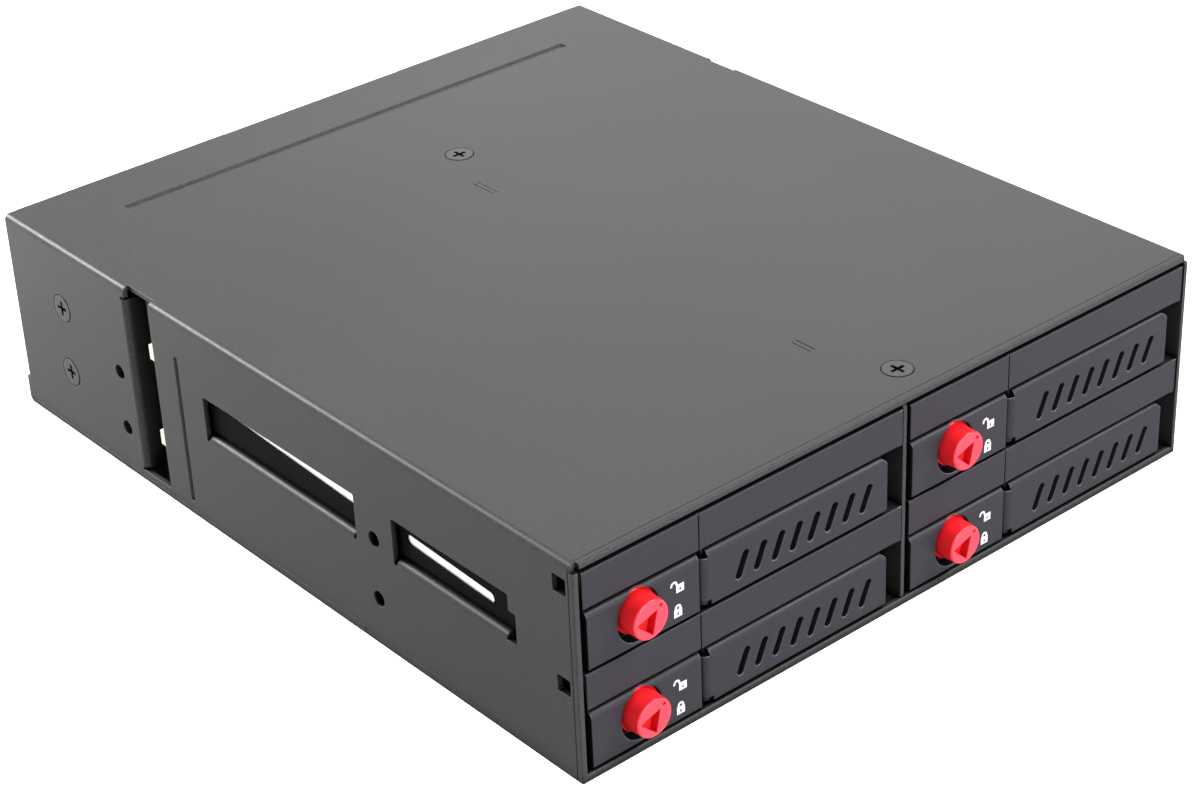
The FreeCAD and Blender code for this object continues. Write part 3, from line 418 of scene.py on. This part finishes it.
@dataclass(frozen=True)
class LockPlastic:
    """Glossy red plastic of the lock knobs: paler pink on the front face as a painted sheen of the lit
    face, deeper red on the sides, with painted shade in the key recess.
    """

    name: str
    face: tuple[float, float, float]
    side: tuple[float, float, float]
    face_depth: float = 0.3

    def build(self) -> bpy.types.Material:
        """Make the material."""
        recipe = Recipe(self.name)
        front = CAD_BOX[0].y
        # the paler face colour within face_depth of the front is a painted sheen; behind it the sides
        # take the deeper red
        reach = recipe.spread(recipe.along(Axis.Y), 0.0, 1.0, front, front + self.face_depth * MM)
        colour = recipe.tint(reach, self.face, self.side)
        # painted shade darkens the key recess and the foot where the knob meets the block
        shaded = recipe.shaded(colour, recipe.painted_shade(KEY_RECESS_SHADE))
        recipe.join(shaded, recipe.shader.inputs["Base Color"])
        haze = recipe.spread(recipe.grain(900.0, 2.0), 0.28, 0.4)
        recipe.join(haze, recipe.shader.inputs["Roughness"])
        recipe.shader.inputs["Specular IOR Level"].default_value = 0.35
        return recipe.material


@dataclass(frozen=True)
class BareMetal:
    """Plated or rolled metal with fine drawn streaks along one axis."""

    name: str
    shade: tuple[float, float, float]
    roughness: float = 0.3
    streak: Axis = Axis.Y

    def build(self) -> bpy.types.Material:
        """Make the material."""
        recipe = Recipe(self.name)
        stretch = recipe.tree.nodes.new("ShaderNodeMapping")
        factors = {Axis.X: (0.03, 1.0, 1.0), Axis.Y: (1.0, 0.03, 1.0), Axis.Z: (1.0, 1.0, 0.03)}
        stretch.inputs["Scale"].default_value = factors[self.streak]
        recipe.join(recipe.place, stretch.inputs["Vector"])
        recipe.place = stretch.outputs["Vector"]
        lines = recipe.grain(5200.0, 3.0)
        low = tuple(c * 0.9 for c in self.shade)
        recipe.join(recipe.tint(recipe.spread(lines, 0.0, 1.0), low, self.shade),
                    recipe.shader.inputs["Base Color"])
        recipe.join(recipe.spread(lines, self.roughness - 0.06, self.roughness + 0.08),
                    recipe.shader.inputs["Roughness"])
        recipe.shader.inputs["Metallic"].default_value = 1.0
        recipe.relief(lines, 0.08, 0.01)
        return recipe.material


@dataclass(frozen=True)
class SolderMask:
    """Green lacquer of a circuit board, with proud tracks beneath it and pale cut edges."""

    name: str
    shade: tuple[float, float, float]
    track: tuple[float, float, float]
    core: tuple[float, float, float] = (0.66, 0.64, 0.52)

    def build(self) -> bpy.types.Material:
        """Make the material."""
        recipe = Recipe(self.name)
        cells = recipe.tree.nodes.new("ShaderNodeTexVoronoi")
        cells.distance = "CHEBYCHEV"
        cells.feature = "F1"
        cells.inputs["Scale"].default_value = 420.0
        recipe.join(recipe.place, cells.inputs["Vector"])
        tracks = recipe.spread(cells.outputs["Distance"], 0.0, 1.0, 0.42, 0.5)
        cut = recipe.spread(recipe.facing(Axis.Y), 1.0, 0.0, 0.3, 0.7)
        face = recipe.tint(tracks, self.shade, self.track)
        lacquer = recipe.shaded(face, recipe.spread(cut, 1.0, 0.0, 0.0, 1.0))
        laminate = recipe.tint(cut, (0.0, 0.0, 0.0), self.core)
        recipe.join(recipe.added(lacquer, laminate), recipe.shader.inputs["Base Color"])
        recipe.join(recipe.spread(recipe.grain(300.0), 0.3, 0.42), recipe.shader.inputs["Roughness"])
        recipe.relief(tracks, 0.3, 0.03)
        return recipe.material


@dataclass(frozen=True)
class MarkInk:
    """Pale print on the bezel, slightly broken by the grain beneath."""

    name: str
    shade: tuple[float, float, float]

    def build(self) -> bpy.types.Material:
        """Make the material."""
        recipe = Recipe(self.name)
        wear = recipe.spread(recipe.grain(5200.0), 0.0, 1.0, 0.25, 0.5)
        faded = tuple(c * 0.82 for c in self.shade)
        recipe.join(recipe.tint(wear, faded, self.shade), recipe.shader.inputs["Base Color"])
        recipe.join(recipe.spread(recipe.grain(900.0), 0.5, 0.62), recipe.shader.inputs["Roughness"])
        return recipe.material


class Palette:
    """Every finish of the cage, keyed by the material slot that it dresses."""

    def __init__(self) -> None:
        """Build one material for each slot and for the printed marks."""
        steel = {
            "case_paint": PowderCoat("case_powder_coat", (0.034, 0.0324, 0.0342)),
            # inner parts: the case's black paint made darker, painted shade for the inside of the cage
            "inner_steel": PowderCoat("inner_powder_coat_painted_shade", (0.014, 0.014, 0.015), sheen=0.1),
            # trays: real black paint, made near black and almost without sheen as painted shade for the
            # cage's dark interior
            "tray_steel": PowderCoat("tray_powder_coat_painted_shade", (0.0035, 0.0035, 0.0038), gloss=0.5, sheen=0.02,
                                     edge_highlight=1.5),
            "spring_steel": BareMetal("spring_steel", (0.90, 0.90, 0.88), 0.34),
            "screw_steel": PowderCoat("screw_black_oxide", (0.040, 0.039, 0.040), 1.2, 0.36, edge_highlight=1.6),
            # the bezels' upward edges get a strong painted highlight
            "bezel_plastic": MouldedPlastic("bezel_plastic", (0.0225, 0.0218, 0.0274), 0.42, 3400.0,
                                            0.03, edge=0.35, edge_highlight=9.0),
            "latch_plastic": MouldedPlastic("latch_plastic", (0.62, 0.61, 0.56), 0.4, 1800.0, 0.01),
            "lock_red": LockPlastic("lock_red", (0.89, 0.045, 0.072), (0.95, 0.016, 0.024)),
            "board": SolderMask("board_green", (0.012, 0.075, 0.04), (0.02, 0.11, 0.055)),
            "connector_black": MouldedPlastic("connector_black", (0.02, 0.02, 0.021), 0.38, 1500.0,
                                              0.008),
            "connector_white": MouldedPlastic("connector_ivory", (0.70, 0.67, 0.58), 0.42, 1500.0,
                                              0.008),
            "fan_plastic": MouldedPlastic("fan_black", (0.022, 0.022, 0.023), 0.42, 1700.0, 0.012),
        }
        self.by_slot = {slot: finish.build() for slot, finish in steel.items()}
        self.ink = MarkInk("mark_ink", (0.62, 0.60, 0.62)).build()

    def dress_frame(self) -> None:
        """Give each CAD node the finish of its material slot."""
        for part in frame["record"]["subparts"]:
            node = frame["nodes"][part["node"]]
            finish = self.by_slot[part["material_slot"]]
            if part["node"].endswith("lever_pin"):
                finish = self.by_slot["screw_steel"]
            for place in node.material_slots:
                place.material = finish


# ---- pieces ----
class Sheet:
    """A new piece while its mesh is worked, finished by placing it in the cage."""

    def __init__(self, name: str) -> None:
        """Start an empty mesh.

        Args:
            name: The piece's name.
        """
        self.name = name
        self.mesh = bmesh.new()

    def carve(self, tool: bmesh.types.BMesh) -> None:
        """Cut a closed shape out of the piece.

        Args:
            tool: The shape to take away; it is used up.
        """
        parts = []
        for name, source in (("carved", self.mesh), ("tool", tool)):
            data = bpy.data.meshes.new(name)
            source.to_mesh(data)
            source.free()
            part = bpy.data.objects.new(name, data)
            bpy.context.scene.collection.objects.link(part)
            parts.append(part)
        work, cutter = parts
        difference = work.modifiers.new("difference", "BOOLEAN")
        difference.operation = "DIFFERENCE"
        difference.solver = "EXACT"
        difference.object = cutter
        bpy.context.view_layer.update()
        self.mesh = bmesh.new()
        self.mesh.from_object(work, bpy.context.evaluated_depsgraph_get())
        for part in parts:
            data = part.data
            bpy.data.objects.remove(part)
            bpy.data.meshes.remove(data)

    def finish(self, material: bpy.types.Material, body: str, slot: str) -> bpy.types.Object:
        """Write the mesh to an object that rides on a body.

        Args:
            material: The piece's finish.
            body: The body that carries it.
            slot: The record's material slot that it belongs to; not used.

        Returns:
            The finished object.
        """
        bmesh.ops.remove_doubles(self.mesh, verts=self.mesh.verts[:], dist=0.002 * MM)
        inner = [face for face in self.mesh.faces
                 if all(len(edge.link_faces) > 2 for edge in face.edges)]
        bmesh.ops.delete(self.mesh, geom=inner, context="FACES_ONLY")
        loose = [edge for edge in self.mesh.edges if edge.is_wire]
        bmesh.ops.delete(self.mesh, geom=loose, context="EDGES")
        bmesh.ops.recalc_face_normals(self.mesh, faces=self.mesh.faces[:])
        data = bpy.data.meshes.new(self.name)
        self.mesh.to_mesh(data)
        self.mesh.free()
        data.materials.append(material)
        piece = bpy.data.objects.new(self.name, data)
        bpy.context.scene.collection.objects.link(piece)
        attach(piece, body)
        LOG.info("%s: %d faces", self.name, len(data.polygons))
        return piece


def reading_order(face: bmesh.types.BMFace) -> tuple[float, float]:
    """A face's place in an upright grid, row by row."""
    middle = face.calc_center_median()
    return round(middle.z, 3), middle.x


@dataclass(frozen=True)
class Padlock:
    """A printed padlock sign, drawn in millimetres from the lower left corner of a bezel."""

    middle: tuple[float, float]
    width: float
    height: float
    shackle: tuple[float, float]
    bend: float
    line: float = 0.4
    thickness: float = 0.03
    cells: int = 5
    bend_steps: int = 14

    def draw(self, mesh: bmesh.types.BMesh, corner: Vector) -> None:
        """Add the sign to a mesh, flat in the X and Z directions.

        Args:
            mesh: The mesh to add to.
            corner: The bezel's lower left corner on the printed face, in metres.
        """
        self.draw_body(mesh, corner)
        self.draw_shackle(mesh, corner)

    def draw_body(self, mesh: bmesh.types.BMesh, corner: Vector) -> None:
        """Add the lock's body, a plate that leaves the keyhole open.

        Args:
            mesh: The mesh to add to.
            corner: The bezel's lower left corner on the printed face, in metres.
        """
        grid = bmesh.ops.create_grid(mesh, x_segments=self.cells, y_segments=self.cells, size=0.5)
        plate = grid["verts"]
        bmesh.ops.rotate(mesh, verts=plate, matrix=UPRIGHT)
        faces = sorted({face for vert in plate for face in vert.link_faces}, key=reading_order)
        middle = self.cells // 2
        keyhole = [faces[row * self.cells + middle] for row in (middle - 1, middle)]
        kept = [face for face in faces if face not in keyhole]
        bmesh.ops.delete(mesh, geom=keyhole, context="FACES_ONLY")
        raised = bmesh.ops.extrude_face_region(mesh, geom=kept)["geom"]
        back = [item for item in raised if isinstance(item, bmesh.types.BMVert)]
        bmesh.ops.translate(mesh, verts=back, vec=(0.0, 1.0, 0.0))
        whole = list({vert for vert in plate + back if vert.is_valid})
        bmesh.ops.scale(mesh, verts=whole, vec=mm(self.width, self.thickness, self.height))
        bmesh.ops.translate(mesh, verts=whole, vec=corner + mm(self.middle[0], 0.0, self.middle[1]))

    def draw_shackle(self, mesh: bmesh.types.BMesh, corner: Vector) -> None:
        """Add the shackle: a half ring whose legs reach down to the top of the body.

        Args:
            mesh: The mesh to add to.
            corner: The bezel's lower left corner on the printed face, in metres.
        """
        centre = corner + mm(self.shackle[0], 0.0, self.shackle[1])
        half = self.line / 2
        deep = self.thickness
        outline = ((-half, 0.0), (half, 0.0), (half, deep), (-half, deep))
        ring = mesh.faces.new([mesh.verts.new(centre + mm(self.bend + u, v, 0.0)) for u, v in outline])
        turned = bmesh.ops.spin(mesh, geom=[ring], cent=centre, axis=(0.0, -1.0, 0.0), angle=math.pi,
                                steps=self.bend_steps, use_duplicate=False)
        last = [item for item in turned["geom_last"] if isinstance(item, bmesh.types.BMFace)]
        foot = self.middle[1] + self.height / 2 - self.shackle[1]
        for end in [ring] + last:
            leg = bmesh.ops.extrude_face_region(mesh, geom=[end])["geom"]
            tip = [item for item in leg if isinstance(item, bmesh.types.BMVert)]
            bmesh.ops.translate(mesh, verts=tip, vec=mm(0.0, 0.0, foot))


@dataclass
class LockMarks:
    """The open and closed padlock signs printed on each lock block."""

    palette: Palette
    proud: float = 0.02
    open_sign: Padlock = Padlock((20.02, 6.63), 1.65, 1.5, (18.72, 7.55), 0.56)
    closed_sign: Padlock = Padlock((19.45, 2.02), 1.7, 1.48, (19.45, 2.96), 0.5)

    def build(self) -> None:
        """Print both signs beside each of the four knobs."""
        for tray, _ in each_tray():
            low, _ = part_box(f"{tray}_bezel")
            corner = Vector((low.x, low.y - self.proud * MM, low.z))
            sheet = Sheet(f"{tray}_lock_marks")
            self.open_sign.draw(sheet.mesh, corner)
            self.closed_sign.draw(sheet.mesh, corner)
            sheet.finish(self.palette.ink, tray, "bezel_plastic")


@dataclass
class LockKnob:
    """The front of a lock knob: a slightly tapered red button with a three-sided key recess."""

    palette: Palette
    face_radius: float = 3.62
    foot_radius: float = 3.78
    rim: float = 0.4
    rim_steps: int = 5
    dish: float = 0.06
    dish_edge: float = 0.5
    foot_depth: float = 3.95
    key_radius: float = 2.65
    key_turn: float = 47.0
    key_shift: float = -0.5
    key_depth: float = 1.7
    key_round: float = 0.25
    dot: tuple[float, float] = (2.0, 2.0)
    dot_radius: float = 0.36
    dot_depth: float = 0.3
    dot_sides: int = 20
    clearance: float = 1.0
    overlap: float = 0.02
    steps: int = 96

    def build(self) -> None:
        """Put a detailed button on the mechanism behind each of the four knobs."""
        for tray, place in each_tray():
            low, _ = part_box(f"{tray}_lock_knob")
            bezel_low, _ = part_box(f"{tray}_bezel")
            axis = bezel_low + mm(KNOB_FROM_CORNER[0], 0.0, KNOB_FROM_CORNER[1])
            axis.y = low.y
            sheet = Sheet(f"{tray}_lock_button")
            self.turn_button(sheet.mesh, axis)
            self.cut_recesses(sheet, axis)
            self.add_mechanism(sheet.mesh, frame["nodes"][f"{tray}_lock_knob"], axis)
            red = self.palette.by_slot["lock_red"]
            piece = sheet.finish(red, f"lock_knob_{place}", "lock_red")
            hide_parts(f"{tray}_lock_knob")

    def turn_button(self, mesh: bmesh.types.BMesh, axis: Vector) -> None:
        """Spin the button's outline about the knob's axis.

        Args:
            mesh: The mesh to add to.
            axis: The middle of the knob's front face.
        """
        flat = self.face_radius - self.rim
        outline = [(0.0, self.dish), (flat - self.dish_edge, self.dish / 2), (flat, 0.0)]
        for step in range(1, self.rim_steps + 1):
            angle = math.radians(step * 90.0 / self.rim_steps)
            outline.append((flat + self.rim * math.sin(angle), self.rim * (1.0 - math.cos(angle))))
        outline += [(self.foot_radius, self.foot_depth), (0.0, self.foot_depth)]
        points = [mesh.verts.new(axis + mm(radius, depth, 0.0)) for radius, depth in outline]
        edges = [mesh.edges.new(pair) for pair in zip(points, points[1:])]
        bmesh.ops.spin(mesh, geom=points + edges, cent=axis, axis=(0.0, 1.0, 0.0), angle=2.0 * math.pi,
                       steps=self.steps, use_merge=True, use_duplicate=False)
        bmesh.ops.remove_doubles(mesh, verts=mesh.verts[:], dist=0.001 * MM)
        bmesh.ops.recalc_face_normals(mesh, faces=mesh.faces[:])

    def cut_recesses(self, sheet: Sheet, axis: Vector) -> None:
        """Cut the key recess and the index dot out of the button.

        Args:
            sheet: The button.
            axis: The middle of the knob's front face.
        """
        tool = bmesh.new()
        middle = axis + mm(self.key_shift, 0.0, self.key_shift)
        corners = []
        for corner in range(3):
            angle = math.radians(self.key_turn + corner * 120.0)
            across, up = self.key_radius * math.cos(angle), self.key_radius * math.sin(angle)
            corners.append(tool.verts.new(middle + mm(across, -self.clearance, up)))
        lid = tool.faces.new(corners)
        deep = bmesh.ops.extrude_face_region(tool, geom=[lid])["geom"]
        floor = [item for item in deep if isinstance(item, bmesh.types.BMVert)]
        bmesh.ops.translate(tool, verts=floor, vec=mm(0.0, self.clearance + self.key_depth, 0.0))
        walls = [edge for edge in tool.edges
                 if abs(edge.verts[0].co.y - edge.verts[1].co.y) > self.key_depth / 2 * MM]
        bmesh.ops.bevel(tool, geom=walls, offset=self.key_round * MM, offset_type="OFFSET",
                        affect="EDGES", segments=3, profile=0.5, material=-1)
        radius = self.dot_radius * MM
        peg = bmesh.ops.create_cone(tool, cap_ends=True, cap_tris=False, segments=self.dot_sides,
                                    radius1=radius, radius2=radius, depth=self.clearance * MM)["verts"]
        bmesh.ops.rotate(tool, verts=peg, matrix=UPRIGHT)
        sunk = mm(self.dot[0], self.dot_depth - self.clearance / 2, self.dot[1])
        bmesh.ops.translate(tool, verts=peg, vec=axis + sunk)
        bmesh.ops.recalc_face_normals(tool, faces=tool.faces[:])
        sheet.carve(tool)

    def add_mechanism(self, mesh: bmesh.types.BMesh, node: bpy.types.Object, axis: Vector) -> None:
        """Add the flange, stem and locking sector that stand behind the button.

        Args:
            mesh: The button's mesh.
            node: The whole knob as the frame has it.
            axis: The middle of the knob's front face.
        """
        rest = bmesh.new()
        rest.from_mesh(node.data)
        bmesh.ops.remove_doubles(rest, verts=rest.verts[:], dist=0.001 * MM)
        plane = axis + mm(0.0, self.foot_depth - self.overlap, 0.0)
        bmesh.ops.bisect_plane(rest, geom=rest.verts[:] + rest.edges[:] + rest.faces[:], plane_co=plane,
                               plane_no=(0.0, 1.0, 0.0), clear_inner=True)
        bmesh.ops.holes_fill(rest, edges=[edge for edge in rest.edges if edge.is_boundary])
        kept = bpy.data.meshes.new("mechanism")
        rest.to_mesh(kept)
        rest.free()
        mesh.from_mesh(kept)
        bpy.data.meshes.remove(kept)


@dataclass
class LatchSpring:
    """The coil spring behind a latch bar, which shortens as the bar slides back; this coil keeps its
    length.
    """

    palette: Palette
    wire_radius: float = 0.2
    turns: int = 6
    steps_per_turn: int = 24
    wire_sides: int = 8

    def build(self) -> None:
        """Wind the four springs, each riding on its tray."""
        for tray, place in each_tray():
            low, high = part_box(f"{tray}_latch_spring")
            sheet = Sheet(f"{tray}_latch_coil")
            self.wind(sheet.mesh, low, high)
            piece = sheet.finish(self.palette.by_slot["spring_steel"], tray, "spring_steel")
            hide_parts(f"{tray}_latch_spring")
            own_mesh(piece)

    def wind(self, mesh: bmesh.types.BMesh, low: Vector, high: Vector) -> None:
        """Wind round wire about the X axis, filling a box.

        Args:
            mesh: The mesh to add to.
            low: The box's lower corner.
            high: The box's upper corner.
        """
        middle = (low + high) / 2
        wire = self.wire_radius * MM
        coil = min(high.y - low.y, high.z - low.z) / 2 - wire
        start = Vector((low.x + wire, middle.y, middle.z))
        ring = bmesh.ops.create_circle(mesh, cap_ends=True, segments=self.wire_sides, radius=wire)
        section = ring["verts"]
        bmesh.ops.rotate(mesh, verts=section, matrix=UPRIGHT)
        bmesh.ops.translate(mesh, verts=section, vec=start + Vector((0.0, 0.0, coil)))
        steps = self.turns * self.steps_per_turn
        rise = (high.x - low.x - 2.0 * wire) / steps
        bmesh.ops.spin(mesh, geom=mesh.faces[:], cent=start, axis=(1.0, 0.0, 0.0), dvec=(rise, 0.0, 0.0),
                       angle=2.0 * math.pi * self.turns, steps=steps, use_duplicate=False)


# ---- surroundings ----
@dataclass(frozen=True)
class SoftLamp:
    """A square studio lamp that points at the cage."""

    name: str
    place: tuple[float, float, float]
    size: float
    watts: float
    shade: tuple[float, float, float] = (1.0, 1.0, 1.0)

    def build(self, target: Vector) -> None:
        """Hang the lamp.

        Args:
            target: The point that it shines at.
        """
        data = bpy.data.lights.new(self.name, "AREA")
        data.size = self.size
        data.energy = self.watts
        data.color = self.shade
        lamp = bpy.data.objects.new(self.name, data)
        lamp.location = self.place
        lamp.rotation_euler = (target - lamp.location).to_track_quat("-Z", "Y").to_euler()
        bpy.context.scene.collection.objects.link(lamp)


@dataclass
class Studio:
    """White surroundings: the floor, the world and the lamps."""

    floor_side: float = 6.0
    floor_tone: float = 0.6
    floor_roughness: float = 0.9
    glow: float = 0.9
    floor_mirrored: float = 0.12
    ambient: float = 0.15

    def build(self) -> None:
        """Set up everything around the cage."""
        self.lay_floor()
        self.fill_world()
        middle = (CAD_BOX[0] + CAD_BOX[1]) / 2
        lamps = (
            SoftLamp("lamp_key", (0.72, -0.6, 0.86), 0.3, 14.0),
            SoftLamp("lamp_fill", (-0.05, -1.05, 0.35), 0.5, 16.0),
            SoftLamp("lamp_rear_left", (-0.23, 0.44, 0.3), 0.2, 7.5),
            SoftLamp("lamp_rear_right", (0.95, 0.9, 0.75), 0.8, 5.0),
        )
        for lamp in lamps:
            lamp.build(middle)

    def lay_floor(self) -> None:
        """Lay a white floor that keeps the cage's soft shadow and is white to the camera."""
        sheet = bmesh.new()
        bmesh.ops.create_grid(sheet, x_segments=1, y_segments=1, size=self.floor_side / 2)
        data = bpy.data.meshes.new("floor")
        sheet.to_mesh(data)
        sheet.free()
        floor = bpy.data.objects.new("floor", data)
        bpy.context.scene.collection.objects.link(floor)
        material = bpy.data.materials.new("floor_white")
        material.use_nodes = True
        tree = material.node_tree
        shader = tree.nodes["Principled BSDF"]
        shader.inputs["Base Color"].default_value = (*[self.floor_tone] * 3, 1.0)
        shader.inputs["Roughness"].default_value = self.floor_roughness
        seen = self.seen_directly(tree, self.floor_mirrored)
        glow = tree.nodes.new("ShaderNodeMath")
        glow.operation = "MULTIPLY"
        glow.inputs[1].default_value = self.glow
        tree.links.new(seen, glow.inputs[0])
        shader.inputs["Emission Color"].default_value = (1.0, 1.0, 1.0, 1.0)
        tree.links.new(glow.outputs["Value"], shader.inputs["Emission Strength"])
        data.materials.append(material)

    def fill_world(self) -> None:
        """Make the world white to the camera and in reflections, and dimmer as a light."""
        world = bpy.data.worlds.new("studio")
        bpy.context.scene.world = world
        world.use_nodes = True
        tree = world.node_tree
        background = tree.nodes["Background"]
        background.inputs["Color"].default_value = (1.0, 1.0, 1.0, 1.0)
        strength = tree.nodes.new("ShaderNodeMapRange")
        strength.inputs["To Min"].default_value = self.ambient
        strength.inputs["To Max"].default_value = 1.0
        tree.links.new(self.seen_directly(tree, 1.0), strength.inputs["Value"])
        tree.links.new(strength.outputs["Result"], background.inputs["Strength"])

    def seen_directly(self, tree: bpy.types.NodeTree, mirrored: float) -> bpy.types.NodeSocket:
        """Whether a ray comes from the camera, or from a glossy or clear surface.

        Args:
            tree: The node tree that asks.
            mirrored: The share that shiny surfaces show.

        Returns:
            1 for camera rays, the mirrored share for glossy ones and 0 for light falling on things.
        """
        path = tree.nodes.new("ShaderNodeLightPath")
        total = path.outputs["Is Camera Ray"]
        for name, share in (("Is Glossy Ray", mirrored), ("Is Transmission Ray", 1.0)):
            part = tree.nodes.new("ShaderNodeMath")
            part.operation = "MULTIPLY"
            part.inputs[1].default_value = share
            tree.links.new(path.outputs[name], part.inputs[0])
            either = tree.nodes.new("ShaderNodeMath")
            either.operation = "MAXIMUM"
            tree.links.new(total, either.inputs[0])
            tree.links.new(part.outputs["Value"], either.inputs[1])
            total = either.outputs["Value"]
        return total


@dataclass(frozen=True)
class Viewpoint:
    """The camera, above the front left corner of the cage."""

    place: tuple[float, float, float] = (-0.2946, -0.3612, 0.2786)
    tilt_deg: float = 59.767
    roll_deg: float = 2.185
    heading_deg: float = -40.735
    focal_mm: float = 84.2
    sensor_mm: float = 36.0

    def build(self) -> None:
        """Set up the camera and make it the scene's own."""
        data = bpy.data.cameras.new("camera")
        data.lens = self.focal_mm
        data.sensor_width = self.sensor_mm
        data.clip_start = 0.01
        data.clip_end = 20.0
        camera = bpy.data.objects.new("camera", data)
        camera.location = self.place
        angles = (self.tilt_deg, self.roll_deg, self.heading_deg)
        camera.rotation_euler = tuple(math.radians(a) for a in angles)
        bpy.context.scene.collection.objects.link(camera)
        bpy.context.scene.camera = camera


def set_view() -> None:
    """Show colours as they are written."""
    bpy.context.scene.view_settings.view_transform = "Standard"


def main() -> None:
    """Build the looks of the cage and its surroundings."""
    logging.basicConfig(level=logging.INFO, format="%(name)s %(message)s")
    set_view()
    Viewpoint().build()
    Studio().build()
    palette = Palette()
    palette.dress_frame()
    LockMarks(palette).build()
    LockKnob(palette).build()
    LatchSpring(palette).build()


if __name__ == "__main__":
    main()
